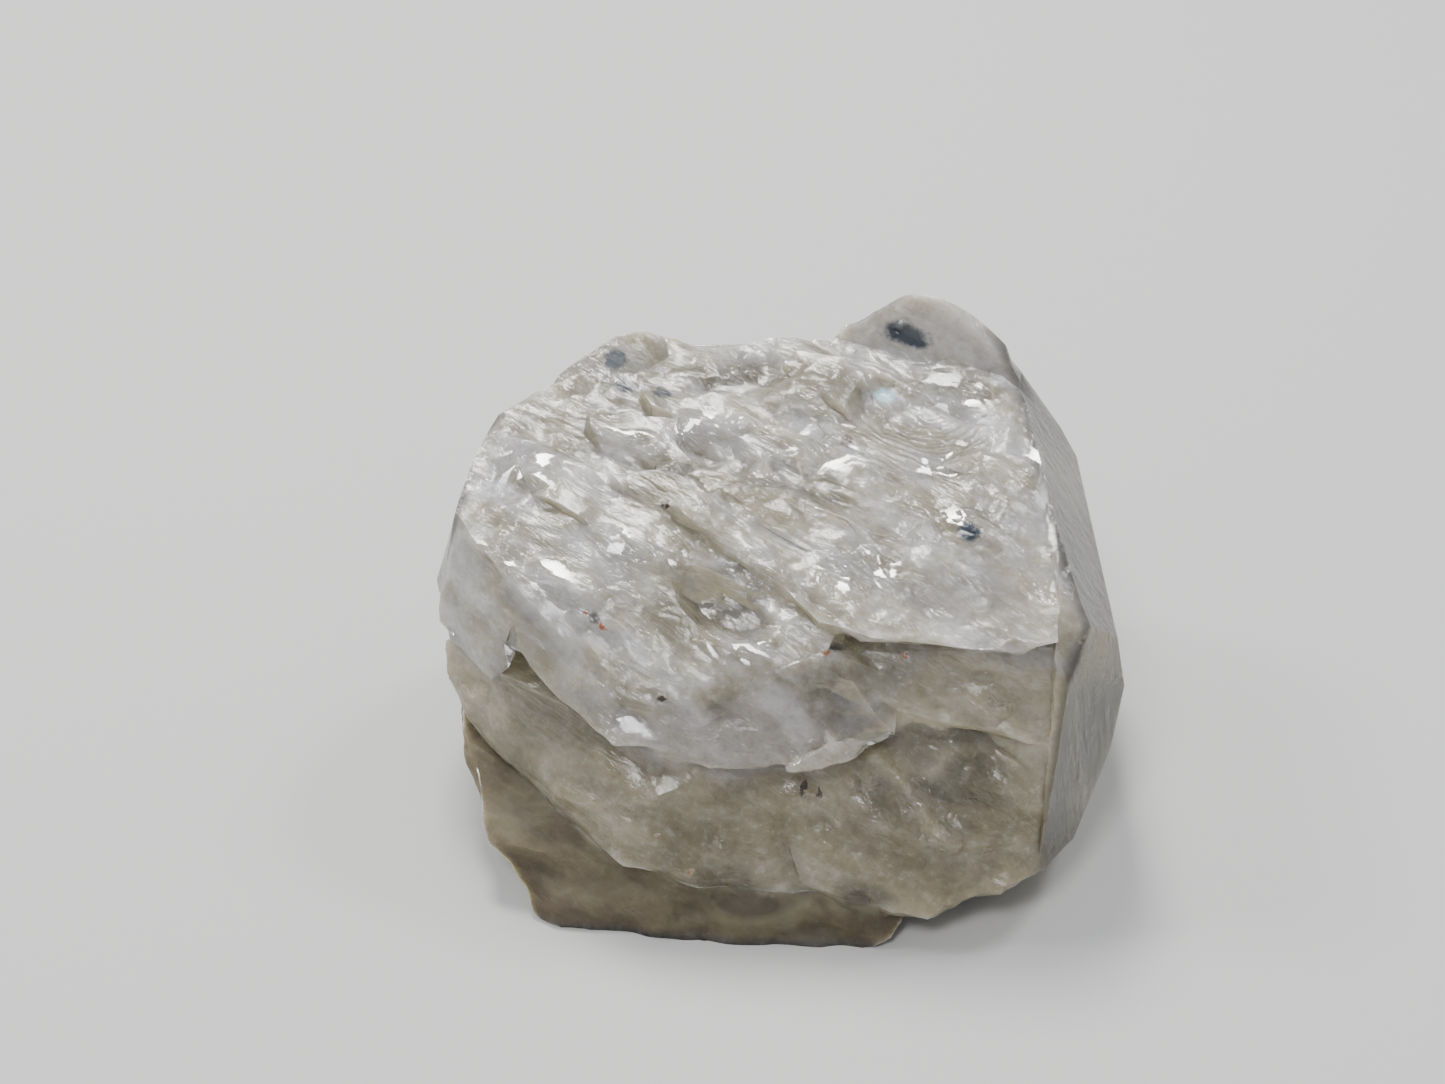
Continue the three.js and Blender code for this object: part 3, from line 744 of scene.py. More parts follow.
@dataclass
class FractureRelief:
    """The fine relief of the broken surfaces."""

    splinter_length: float = 3.2
    splinter_width: float = 0.55
    splinter_height: float = 0.075
    ridge_top: float = 0.55  # a ridge's height, as a share of splinter_height
    ridge_slope: float = 2.2  # how fast it falls off to the sides
    step_length: float = 2.1
    step_width: float = 0.8
    step_count: float = 5.0  # how many steps the noise is cut into
    step_height: float = 0.02
    step_riser: Range = (0.35, 0.65)  # where a riser starts and ends, as shares of a step
    hackle_size: float = 0.45  # of the finest lumps
    hackle_height: float = 0.035
    shelf_length: float = 2.4
    shelf_depth: float = 0.7  # from one shelf on the front down to the next
    shelf_height: float = 0.06
    shelf_riser: Range = (0.3, 0.6)
    front_share: float = 0.6  # how much of the relief the front keeps
    bend: Point = (0.5, 0.9, 0.4)  # how far the grain wanders
    bend_size: float = 2.4  # over which length it wanders
    crest_bend: float = 0.15  # how much of that the crests follow
    ripples: tuple[Ripples, ...] = (
        Ripples((3.9, 2.6, 9.3), 2.6, 0.62, 0.07),
        Ripples((-1.1, 1.1, 8.7), 1.6, 0.5, 0.05),
        Ripples((5.2, -3.9, 4.6), 2.4, 0.6, 0.04),
        Ripples((-2.2, -4.6, 2.0), 2.2, 0.7, 0.04),
    )
    crests: tuple[Crest, ...] = (
        Crest(((-0.2, -5.4, 4.6), (1.3, -5.2, 4.9), (2.0, -5.0, 5.2), (3.0, -4.8, 5.5)), 0.5, 0.14),
        Crest(
            ((2.4, -4.8, 4.5), (3.1, -5.1, 3.9), (3.6, -5.5, 3.4), (3.9, -5.9, 3.0), (4.4, -6.1, 2.7)),
            0.35,
            0.26,
        ),
        Crest(((-5.7, -4.4, 2.7), (-4.9, -4.9, 2.9), (-3.4, -5.4, 3.6), (-2.3, -5.2, 3.9)), 0.45, 0.14),
        Crest(((4.0, -4.8, 4.7), (5.3, -4.9, 4.5), (6.6, -5.1, 4.3)), 0.35, 0.1),
        Crest(((2.2, -4.2, 6.2), (4.2, -4.5, 5.6), (6.2, -4.9, 5.3)), 0.3, 0.1),
        Crest(((2.2, -5.2, 3.4), (2.6, -5.5, 2.9), (3.3, -6.0, 2.4)), 0.2, 0.1),
        Crest(((1.2, -5.9, 2.4), (2.3, -6.3, 1.9), (3.4, -6.6, 1.7)), 0.2, 0.09),
        Crest(((1.4, -5.6, 2.9), (2.6, -6.0, 2.3), (3.6, -6.3, 2.0)), 0.2, 0.09),
        Crest(((-3.3, -5.2, 4.4), (-2.0, -5.4, 4.3), (-0.5, -5.4, 4.5)), 0.4, 0.08),
        Crest(((-5.7, -5.0, 1.6), (-4.6, -5.8, 1.3)), 0.22, 0.08),
        Crest(
            ((-2.9, 0.0, 8.8), (-2.0, -0.8, 8.6), (-1.0, -1.3, 8.0), (0.2, -2.5, 7.7), (1.4, -2.9, 7.0)),
            0.28,
            0.09,
        ),
        Crest(((-1.0, 2.7, 9.4), (0.6, 2.0, 9.3), (1.8, 1.7, 9.1)), 0.35, 0.13),
    )
    calm: tuple[Patch, ...] = (
        Patch((4.2, 5.4, 10.6), (3.0, 2.6, 1.6), 0.85),
        Patch((-3.9, -4.9, 5.1), (1.1, 1.0, 0.8), 0.9),
        Patch((-6.0, -3.6, 4.6), (3.0, 2.4, 2.0), 0.75),
        Patch((5.2, -2.6, 8.2), (2.6, 1.4, 0.9), 0.6),
        Patch((-4.3, 4.8, 9.4), (1.5, 1.6, 1.0), 0.6),
    )

    def at(self, places: np.ndarray, top: np.ndarray) -> np.ndarray:
        """Works out the relief.

        Args:
            places: the points.
            top: 1 where a point is on the top, down to 0 on the front.

        Returns:
            The height at each point.
        """
        bend = SolidNoise(Seed.BEND).at(places / self.bend_size)[:, None] * np.array(self.bend)
        bent = places + bend
        grain = grain_places(bent, self.splinter_length, self.splinter_width)
        ridge = self.ridge_top - np.abs(SolidNoise(Seed.SPLINTERS).at(grain)) * self.ridge_slope
        grain = grain_places(bent, self.step_length, self.step_width)
        level = terraced(SolidNoise(Seed.STEPS).at(grain) * self.step_count, self.step_riser)
        hackle = SolidNoise(Seed.HACKLES).at(bent / self.hackle_size)
        total = ridge * self.splinter_height + level * self.step_height + hackle * self.hackle_height
        sizes = np.array([self.shelf_length, self.shelf_length, self.shelf_depth])
        shelf = terraced(SolidNoise(Seed.SHELVES).at(bent / sizes) * self.step_count, self.shelf_riser)
        total += shelf * self.shelf_height * (1 - top)
        total += sum(ring.at(places) for ring in self.ripples)
        kept = self.front_share + (1 - self.front_share) * top
        total = total * kept * (1 - strongest(self.calm, places))
        return total + sum(line.at(places + bend * self.crest_bend) for line in self.crests)


@dataclass(frozen=True)
class LedgeLine:
    """A ledge on the front, as heights along X."""

    across: tuple[float, ...]  # positions along X
    heights: tuple[float, ...]
    blur: float  # over which height the tone changes

    def above(self, places: np.ndarray) -> np.ndarray:
        """Returns 1 for points above the ledge, down to 0 below it."""
        ledge = np.interp(places[:, 0], self.across, self.heights)
        return smooth_step(places[:, 2] - ledge, -self.blur, self.blur)


@dataclass(frozen=True)
class MarkGroup:
    """A group of marks in one colour: small foreign grains and dark hollows just under the surface, and
    in one group a painted pale blue glint.
    """

    colour: Colour
    spots: tuple[Patch, ...]

    def mark(self, bench: Bench, place: Signal) -> Signal:
        """Returns 1 in the spots, down to 0 outside."""
        marks = [bench.cloud(place, spot.middle, spot.radii) * spot.strength for spot in self.spots]
        return reduce(Signal.larger, marks)


@dataclass(frozen=True)
class StoneMaps:
    """What the parts of the stone's finish read: places, the mesh's layers and the widest noises."""

    bench: Bench
    place: Signal
    grain: Signal  # the place, turned to the grain and stretched along it
    broken: Signal
    flat: Signal  # 1 - broken
    top: Signal
    low: Signal
    glint: Signal
    clear: Signal
    edge: Signal
    polish: Signal
    frost: Signal
    spot: Signal
    streaks: Signal
    drifts: Signal
    striae: Signal


@dataclass(frozen=True)
class Blend:
    """A value that varies over the stone: the plain one, and what each kind of place adds to it."""

    plain: float
    top: float = 0.0
    low: float = 0.0
    glint: float = 0.0
    clear: float = 0.0
    edge: float = 0.0
    flat: float = 0.0
    frost: float = 0.0
    spot: float = 0.0

    def over(self, maps: StoneMaps) -> Operand:
        """Adds the value up.

        Args:
            maps: what the finish reads.

        Returns:
            The value at each place.
        """
        total = self.plain
        for part in fields(self)[1:]:
            added = getattr(self, part.name)
            if added:
                total = total + getattr(maps, part.name) * added
        return total


@dataclass(frozen=True)
class Showing:
    """How a noise shows: between which of its values it sets in, and how strongly."""

    low: float
    high: float
    strength: Blend

    def of(self, noise: Signal, maps: StoneMaps) -> Signal:
        """Returns how strongly the noise shows at each place."""
        return noise.step(self.low, self.high) * self.strength.over(maps)


@dataclass(frozen=True)
class StoneTone:
    """The colours of the milky parts, from the widest mark to the smallest."""

    white: Colour = (0.42, 0.405, 0.412)  # the top
    beige: Colour = (0.42, 0.375, 0.275)  # high on the front
    shaded_drab: Colour = (0.31, 0.26, 0.165)  # lower on the front: its own warm tone, darkened as painted shade
    brown: Colour = (0.07, 0.048, 0.02)  # painted shadow at the foot, and the stone's random dark drifts and specks
    olive: Colour = (0.25, 0.22, 0.125)  # the stains and the clear patches
    shaded_grey: Colour = (0.06, 0.055, 0.045)  # the flat faces: their own grey, darkened partly as painted shade
    lilac: Colour = (0.42, 0.38, 0.37)  # the evenly milky patches
    light: Colour = (0.66, 0.64, 0.60)  # the stone's lighter streaks, drifts and specks, and the painted highlight on bulging edges
    drab_heights: Range = (3.2, 5.8)  # drab below, beige above, so the front darkens downwards as painted shade
    stain: NoiseForm = NoiseForm(scale=0.9, detail=4, roughness=0.6)
    stain_grain: float = 0.45  # the scale along the grain
    stains: Showing = Showing(0.40, 0.58, Blend(0.25, top=0.5))
    flat_share: float = 0.8
    clear_share: float = 0.75
    frost_share: float = 0.6
    speck: NoiseForm = NoiseForm(scale=4.5, detail=4, roughness=0.7)
    light_streaks: Showing = Showing(0.35, 0.7, Blend(0.12, top=0.1))
    light_drifts: Showing = Showing(0.45, 0.75, Blend(0.15))
    light_specks: Showing = Showing(0.5, 0.72, Blend(0.3))
    light_striae: Showing = Showing(0.45, 0.75, Blend(0.1))
    # painted highlight on the edges that bulge
    painted_edge_highlight: float = 0.18
    low_loss: float = 0.85  # how much of the light marks is lost on the foot
    dark_drifts: Showing = Showing(0.5, 0.2, Blend(0.4, top=-0.25))
    dark_specks: Showing = Showing(0.48, 0.3, Blend(0.2))
    wobble: NoiseForm = NoiseForm(scale=3.5, detail=3, roughness=0.6)
    fray: Point = (0.5, -0.35, 0.3)  # how far it moves the outlines of the inclusions and the painted glint

    def build(self, maps: StoneMaps, inclusions_and_glint: tuple[MarkGroup, ...]) -> Signal:
        """Builds the colour.

        Args:
            maps: what the finish reads.
            inclusions_and_glint: the small marks, the painted pale blue glint among them.

        Returns:
            The colour at each place.
        """
        bench = maps.bench
        specks = self.speck.over(bench, maps.place)
        lines = maps.flat * self.light_striae.of(maps.striae, maps)
        light = self.light_streaks.of(maps.streaks, maps) + self.light_drifts.of(maps.drifts, maps)
        # Bulging edges get a painted highlight.
        light = light + maps.edge * self.painted_edge_highlight + self.light_specks.of(specks, maps)
        light = light * maps.broken * (1 - maps.low * self.low_loss) + lines
        tone = bench.mix(light.clamped(), self._zones(maps), self.light)
        dark = self.dark_drifts.of(maps.drifts, maps) * (1 - maps.frost)
        tone = bench.mix(dark + self.dark_specks.of(specks, maps), tone, self.brown)
        wobble = self.wobble.over(bench, maps.place) - NOISE_MEAN
        offset = {axis: wobble * reach for axis, reach in enumerate(self.fray)}
        frayed = maps.place + bench.node("ShaderNodeCombineXYZ", {}, offset)
        for group in inclusions_and_glint:
            tone = bench.mix(group.mark(bench, frayed), tone, group.colour)
        return tone

    def _zones(self, maps: StoneMaps) -> Signal:
        """Lays out the wide colours.

        Args:
            maps: what the finish reads.

        Returns:
            The colour of the top, the front, the foot, the flat faces and the patches, with painted
            shade that darkens the lower front, the foot and the flat faces.
        """
        bench = maps.bench
        height = bench.node("ShaderNodeSeparateXYZ", {}, {0: maps.place}, out="Z")
        # The front darkens downwards as painted shade.
        tone = bench.mix(height.step(*self.drab_heights), self.shaded_drab, self.beige)
        # The foot turns dark brown: painted shadow under the overhang.
        tone = bench.mix(maps.top, bench.mix(maps.low, tone, self.brown), self.white)
        stain = self.stain.over(bench, bench.stretched(maps.place, self.stain_grain))
        stained = self.stains.of(stain, maps) * maps.broken * (1 - maps.polish)
        tone = bench.mix(stained, tone, self.olive)
        # The flat faces turn dark grey: their own tone, darkened partly as painted shade.
        tone = bench.mix(maps.flat * self.flat_share, tone, self.shaded_grey)
        tone = bench.mix(maps.clear * self.clear_share, tone, self.olive)
        return bench.mix(maps.frost * self.frost_share, tone, self.lilac)


@dataclass(frozen=True)
class StoneRelief:
    """What is finer than the mesh. Heights are in millimetres, scales in waves to the millimetre."""

    hackle: NoiseForm = NoiseForm(scale=3.4, detail=2, distortion=1.1)
    hackle_height: float = 0.30
    facet_scale: float = 5.2
    facet_height: float = 0.17
    least: float = 0.12  # the share of both that is left where nothing sparkles
    shell_start: Point = (4.1, 3.6, 9.5)  # where the finely ringed fracture on the top started
    shell_middle: Point = (3.8, 2.3, 9.1)
    shell_radii: Point = (1.9, 1.4, 1.0)
    shell_loss: float = 0.6  # the share of the splinters that is lost there
    ring_scale: float = 1.25
    ring_distortion: float = 2.0
    ring_detail: float = 1.0
    ring_height: float = 0.06
    silk: NoiseForm = NoiseForm(scale=4.0, detail=5, roughness=0.6)
    silk_height: float = 0.05
    silk_added: float = 0.02  # where the break is rough, above the foot
    silk_on_flat: float = 0.02
    growth: NoiseForm = NoiseForm(scale=0.8, detail=3)
    growth_height: float = 0.03
    striae_height: float = 0.05

    def normal(self, maps: StoneMaps) -> Signal:
        """Adds the relief up.

        Args:
            maps: what the finish reads.

        Returns:
            The bumped normal.
        """
        bench = maps.bench
        silk = self.silk.over(bench, maps.grain)
        rough = 1 - maps.polish
        shell = bench.cloud(maps.place, self.shell_middle, self.shell_radii)
        splinters = self.hackle.over(bench, maps.grain) * self.hackle_height
        splinters = splinters + self._facets(maps) * self.facet_height
        splinters = splinters * (maps.glint + self.least) * (1 - shell * self.shell_loss) * rough
        lines = silk * (rough * (1 - maps.low) * self.silk_added + self.silk_height)
        rings = self._rings(maps) * shell * self.ring_height
        growth = self.growth.over(bench, maps.place) * self.growth_height
        even = maps.striae * self.striae_height + growth + silk * self.silk_on_flat
        height = (splinters + lines + rings) * maps.broken + even * maps.flat
        return bench.node("ShaderNodeBump", {}, {"Strength": 1.0, "Distance": MM, "Height": height})

    def _facets(self, maps: StoneMaps) -> Signal:
        """Tilts the grain's cells.

        Args:
            maps: what the finish reads.

        Returns:
            The height of small facets, each of which slants its own way.
        """
        cell = {"Vector": maps.grain, "Scale": self.facet_scale, "Randomness": 1.0}
        centre = maps.bench.node("ShaderNodeTexVoronoi", {}, cell, out="Position")
        slant = centre.beside("Color") - MEAN_COLOUR
        return (maps.grain - centre).dot(slant)

    def _rings(self, maps: StoneMaps) -> Signal:
        """Adds the rings of the shell-like fracture.

        Args:
            maps: what the finish reads.

        Returns:
            Their height.
        """
        settings = {"wave_type": "RINGS", "rings_direction": "SPHERICAL"}
        sockets = {
            "Vector": maps.place - self.shell_start,
            "Scale": self.ring_scale,
            "Distortion": self.ring_distortion,
            "Detail": self.ring_detail,
        }
        return maps.bench.node("ShaderNodeTexWave", settings, sockets, out="Fac")


@dataclass(frozen=True)
class StoneFinish:
    """The clear and milky stone."""

    ior: float = 1.66
    clear_colour: Colour = (0.96, 0.955, 0.93)
    absorbed: Colour = (0.42, 0.34, 0.0)  # what is left of white light after it has crossed the stone
    density: float = 110.0  # how fast the rest is absorbed, per metre
    milk: Blend = Blend(0.74, clear=-0.5, low=0.3, edge=0.15, spot=0.6, flat=-0.08, frost=0.12)
    milk_drift: float = 0.12  # how far the wide noise moves it, up and down
    milk_drifts: Range = (0.35, 0.65)  # the noise's values between which it does
    least_milk: float = 0.32
    milk_depth: float = 1.4  # how far light spreads in the milky parts
    milk_spread: Colour = (1.0, 0.95, 0.8)
    roughness: Blend = Blend(0.26, top=-0.08, glint=-0.08, flat=-0.08, low=0.5)
    clear_roughness: float = 0.6  # as a share of the milky parts'
    glaze_glint: float = 0.9
    glaze_plain: float = 0.1  # on the rest of the break, above the foot
    glaze_roughness: float = 0.07
    glaze_ior: float = 2.2
    grain_share: float = 0.3  # the scale along the grain
    streaks: NoiseForm = NoiseForm(scale=1.3, detail=6, roughness=0.62)
    drifts: NoiseForm = NoiseForm(scale=0.55, detail=5, roughness=0.6)
    striae: NoiseForm = NoiseForm(scale=1.0, detail=4, roughness=0.65)
    striae_scale: Point = (3.2, 3.2, 0.16)
    clear_drifts: Range = (0.3, 0.6)  # the wide noise's values between which the clear patches set in
    least_clear: float = 0.6  # the share of them below these
    tone: StoneTone = StoneTone()
    relief: StoneRelief = StoneRelief()
    inclusions_and_glint: tuple[MarkGroup, ...] = (
        MarkGroup(
            (0.015, 0.03, 0.05),  # blue-black
            (
                Patch((3.5, 5.6, 10.2), (0.85, 0.8, 0.42)),
                Patch((3.8, 5.5, 10.1), (0.5, 0.6, 0.3)),
                Patch((2.6, 4.0, 9.2), (0.3, 0.3, 0.25), 0.5),
                Patch((4.8, -1.0, 8.7), (0.42, 0.4, 0.3)),
                Patch((-4.4, 5.4, 9.5), (0.42, 0.5, 0.35), 0.9),
                Patch((-4.1, 4.6, 9.2), (0.3, 0.5, 0.3), 0.95),
                Patch((-3.1, 3.9, 9.5), (0.38, 0.35, 0.3), 0.85),
                Patch((7.8, -4.2, 4.1), (0.3, 0.3, 0.7), 0.5),
            ),
        ),
        MarkGroup((0.5, 0.68, 0.75), (Patch((2.9, 4.0, 9.3), (0.38, 0.3, 0.25)),)),  # pale blue painted glint
        MarkGroup(
            (0.035, 0.02, 0.012),  # brown-black
            (
                Patch((-3.0, -4.4, 6.1), (0.16, 0.14, 0.1)),
                Patch((0.5, -3.9, 5.5), (0.24, 0.2, 0.12)),
                Patch((-2.9, 0.0, 8.8), (0.12, 0.2, 0.2)),
                Patch((0.6, -5.2, 3.7), (0.13, 0.3, 0.32)),
                Patch((1.0, -5.2, 3.6), (0.09, 0.3, 0.2), 0.8),
                Patch((1.9, -5.2, 3.9), (0.15, 0.3, 0.35), 0.5),
                Patch((-4.7, -2.6, 7.2), (0.22, 0.22, 0.2), 0.8),
                Patch((7.0, -5.8, 2.1), (0.2, 0.2, 0.12)),
                Patch((1.8, 2.0, 9.3), (0.16, 0.4, 0.3), 0.7),
                Patch((5.5, 3.2, 9.1), (0.3, 0.14, 0.2), 0.7),
                Patch((-0.8, -6.7, 1.0), (1.3, 0.6, 0.45), 0.75),
                Patch((2.0, -6.8, 1.3), (0.5, 0.4, 0.3), 0.75),
            ),
        ),
        MarkGroup(
            (0.30, 0.10, 0.035),  # rust
            (
                Patch((3.1, -3.7, 6.9), (0.13, 0.13, 0.13)),
                Patch((4.1, -4.5, 5.6), (0.12, 0.12, 0.12)),
                Patch((1.1, -3.9, 7.2), (0.12, 0.12, 0.12)),
                Patch((-2.3, -6.3, 1.8), (0.12, 0.12, 0.12)),
                Patch((-4.5, -2.8, 7.1), (0.15, 0.15, 0.15)),
                Patch((-5.0, -2.5, 7.3), (0.12, 0.12, 0.12)),
            ),
        ),
    )

    def build(self) -> bpy.types.Material:
        """Builds the material.

        Returns:
            The material.
        """
        material = bpy.data.materials.new("phenakite_stone")
        material.use_nodes = True
        bench = Bench(material.node_tree)
        maps = self._maps(bench)
        rough = self.roughness.over(maps)
        both = {"IOR": self.ior, "Normal": self.relief.normal(maps)}
        see_through = bench.node(
            "ShaderNodeBsdfPrincipled",
            {},
            {
                "Base Color": self.clear_colour,
                "Roughness": rough * self.clear_roughness,
                "Transmission Weight": 1.0,
                **both,
            },
        )
        glaze = maps.glint * self.glaze_glint + maps.broken * (1 - maps.low) * self.glaze_plain
        milky = bench.node(
            "ShaderNodeBsdfPrincipled",
            {},
            {
                "Base Color": self.tone.build(maps, self.inclusions_and_glint),
                "Roughness": rough,
                "Subsurface Weight": 1.0,
                "Subsurface Radius": self.milk_spread,
                "Subsurface Scale": self.milk_depth * MM,
                "Coat Weight": glaze.larger(maps.polish),
                "Coat Roughness": self.glaze_roughness,
                "Coat IOR": self.glaze_ior,
                **both,
            },
        )
        drift = maps.drifts.step(*self.milk_drifts, -self.milk_drift, self.milk_drift)
        milk = self.milk.over(maps) + drift
        from_inside = bench.node("ShaderNodeNewGeometry", {}, {}, out="Backfacing")
        share = milk.larger(self.least_milk).clamped() * (1 - from_inside)
        surface = bench.node("ShaderNodeMixShader", {}, {0: share, 1: see_through, 2: milky})
        absorbed = {"Color": self.absorbed, "Density": self.density}
        inside = bench.node("ShaderNodeVolumeAbsorption", {}, absorbed)
        bench.node("ShaderNodeOutputMaterial", {}, {"Surface": surface, "Volume": inside})
        return material

    def spots(self) -> tuple[Patch, ...]:
        """Returns all the inclusions, whatever they are, and the painted glint."""
        return tuple(spot for group in self.inclusions_and_glint for spot in group.spots)

    def _maps(self, bench: Bench) -> StoneMaps:
        """Adds what more than one part of the finish reads.

        Args:
            bench: adds the nodes.

        Returns:
            The places, layers and noises.
        """
        place = bench.place()
        grain = bench.stretched(place, self.grain_share)
        drifts = self.drifts.over(bench, place)
        layers = {layer.value: bench.layer(layer) for layer in Layer}
        layers["clear"] = layers["clear"] * drifts.step(*self.clear_drifts, self.least_clear, 1.0)
        return StoneMaps(
            bench=bench,
            place=place,
            grain=grain,
            flat=1 - layers["broken"],
            streaks=self.streaks.over(bench, grain),
            drifts=drifts,
            striae=self.striae.over(bench, place * self.striae_scale),
            **layers,
        )


@dataclass
class Crystal:
    """The whole stone, in one piece."""

    prism_faces: tuple[FlatFace, ...] = (
        FlatFace(-2, 36),
        FlatFace(2, 12),
        FlatFace(-36, 8),
        FlatFace(-20, -13),
        FlatFace(-14, -4),
        FlatFace(38, 4),
        FlatFace(64, 1),
        FlatFace(92, 3),
        FlatFace(118, 2),
        FlatFace(150, 5),
        FlatFace(174, 16),
    )
    base: FlatFace = FlatFace(0, -90)
    top_ledge: LedgeLine = LedgeLine(
        (-9.3, -8.7, -7.5, -7.0, -6.8, -5.9, -4.7, -4.0, -3.6, -2.3, 0.2, 1.2, 2.2, 3.1, 3.6, 7.5),
        (5.4, 4.7, 4.9, 5.5, 5.9, 5.5, 5.2, 4.9, 4.6, 4.3, 4.4, 4.8, 5.4, 6.4, 7.0, 7.0),
        0.5,
    )
    low_ledge: LedgeLine = LedgeLine(
        (-8.8, -8.4, -7.1, -6.1, -4.9, -4.0, -2.1, 0.1, 1.8, 2.6, 3.4, 9.0),
        (3.8, 3.1, 2.9, 2.5, 1.9, 1.7, 1.4, 1.3, 1.2, 1.2, 0.6, 0.6),
        0.2,
    )
    glints: tuple[Patch, ...] = (
        Patch((-3.8, -4.9, 5.2), (1.0, 0.6, 0.5)),
        Patch((3.5, 5.7, 10.6), (0.6, 0.4, 0.25)),
        Patch((-6.8, 1.5, 8.7), (1.3, 1.0, 0.8)),
        Patch((-7.2, -1.1, 7.9), (0.7, 0.7, 0.7)),
        Patch((-6.0, -1.8, 7.6), (1.1, 0.7, 0.8)),
        Patch((-5.0, -2.4, 7.4), (1.0, 0.7, 0.8)),
        Patch((-3.5, -1.3, 8.1), (1.2, 0.9, 0.8)),
        Patch((-0.2, 2.5, 9.3), (2.0, 0.6, 0.7)),
        Patch((-2.1, 2.6, 9.0), (0.9, 0.6, 0.7)),
        Patch((3.6, 1.4, 9.0), (1.8, 1.4, 0.8)),
        Patch((4.6, 4.1, 9.3), (2.2, 0.5, 0.7)),
        Patch((6.5, 1.2, 8.9), (0.5, 1.2, 0.6)),
        Patch((2.1, -2.3, 8.3), (1.3, 0.9, 0.7)),
        Patch((-0.3, -2.2, 8.2), (0.8, 0.6, 0.7)),
        Patch((-1.3, -3.7, 7.2), (1.3, 0.8, 0.7)),
        Patch((5.0, -0.5, 8.8), (1.8, 0.6, 0.7)),
        Patch((-1.1, 5.1, 9.1), (1.5, 0.8, 0.6), 0.7),
        Patch((-4.3, 2.4, 9.3), (1.2, 0.6, 0.7)),
        Patch((1.2, 2.2, 9.3), (1.4, 1.8, 0.7), 0.8),
        Patch((-1.4, -4.9, 5.2), (2.6, 0.9, 0.8), 0.35),
        Patch((2.5, -5.3, 3.3), (0.7, 0.6, 0.6), 0.6),
        Patch((3.6, -5.4, 3.6), (0.8, 0.6, 0.7)),
        Patch((4.1, -6.0, 2.8), (0.8, 0.6, 0.6)),
        Patch((5.6, -4.4, 6.0), (0.7, 0.5, 0.4), 0.8),
        Patch((1.0, -5.0, 5.0), (2.0, 0.7, 0.5), 0.4),
        Patch((-3.4, -5.4, 3.6), (1.2, 0.7, 0.5), 0.35),
    )
    clear: tuple[Patch, ...] = (
        Patch((0.2, 0.2, 9.0), (2.4, 1.3, 1.0), 0.75),
        Patch((-2.0, 0.8, 8.8), (2.2, 1.6, 1.0), 0.6),
        Patch((-1.2, 4.9, 9.4), (2.2, 0.9, 1.0), 0.8),
        Patch((-4.3, 4.8, 9.4), (1.6, 1.3, 1.0), 0.6),
        Patch((4.6, -2.6, 8.2), (2.8, 1.1, 0.8), 0.55),
        Patch((4.8, -5.3, 4.1), (2.0, 1.0, 0.8), 0.9),
        Patch((4.3, -4.7, 4.9), (2.0, 0.8, 0.5), 0.8),
        Patch((-1.6, -2.5, 7.5), (2.2, 1.3, 1.0), 0.85),
        Patch((-5.8, -3.7, 5.0), (2.8, 2.2, 1.6), 0.55),
        Patch((-6.5, -4.1, 2.2), (1.9, 1.8, 1.2), 0.3),
        Patch((-0.8, -6.5, 0.9), (2.0, 0.9, 0.8), 1.0),
        Patch((2.0, -6.6, 1.1), (0.9, 0.7, 0.6), 0.9),
        Patch((8.6, -3.2, 3.4), (1.2, 2.4, 2.4), 0.7),
        Patch((8.0, 5.0, 4.5), (1.6, 2.4, 3.4), 0.6),
        Patch((-2.5, 7.0, 4.0), (3.0, 1.2, 2.6), 0.7),
    )
    facets: tuple[Facet, ...] = (
        Facet((-3.8, -4.9, 5.15), FlatFace(-101, 50), 0.8),
    )
    worn: tuple[Patch, ...] = (
        Patch((-4.0, 1.9, 9.2), (1.7, 1.1, 1.0)),
        Patch((0.0, 3.8, 9.4), (1.8, 1.0, 1.0)),
        Patch((3.7, 5.3, 9.7), (2.6, 0.9, 0.8)),
        Patch((-4.8, -4.4, 5.2), (1.5, 1.1, 0.9), 0.8),
        Patch((-2.8, -5.2, 4.8), (2.0, 1.2, 1.1)),
        Patch((-0.4, -5.4, 4.6), (2.4, 1.2, 1.1)),
        Patch((-3.4, 0.1, 8.6), (1.7, 1.2, 0.9), 0.9),
        Patch((-1.8, -1.0, 8.4), (1.7, 1.2, 0.9), 0.9),
        Patch((-0.3, -2.2, 8.0), (1.5, 1.1, 0.9), 0.8),
    )
    polished: tuple[Patch, ...] = (
        Patch((-3.8, -4.9, 5.2), (1.3, 0.8, 0.6), 0.75),
        Patch((4.2, 5.4, 10.6), (3.2, 2.6, 1.7), 0.3),
    )
    frosted: tuple[Patch, ...] = (
        Patch((-1.0, -5.0, 5.3), (3.4, 1.4, 1.5)),
        Patch((5.0, -2.9, 8.0), (3.4, 1.2, 0.7), 0.5),
        Patch((4.2, 5.2, 10.4), (2.6, 1.6, 1.4), 0.6),
    )
    relief: FractureRelief = field(default_factory=FractureRelief)
    finish: StoneFinish = field(default_factory=StoneFinish)
    sharp_angle: float = 20.0  # edges of the solid that turn by more degrees stay sharp
    shaded_sharp_angle: float = 28.0  # the same, for the shading
    rounds: int = 2  # how often the solid is subdivided
    flat_skin: float = 0.02  # how deep a point may lie and still count as flat
    fade: float = 0.3  # the depth at which the relief is full
    drift_scale: float = 0.9  # waves in one unit
    drift_reach: float = 0.9  # how far the drift moves the patches' outlines
    ledge_drift: float = 0.8  # how far it moves the edge of the top
    ledge_drift_from: Range = (-4.2, -3.0)  # positions along X between which that sets in
    edge_rounds: int = 3  # how often the edge layer is averaged
    edge_range: Range = (0.1, 0.4)  # how far an edge bulges where its mark, a painted highlight, starts and is full
    worn_rounds: int = 40  # how often the worn points are averaged
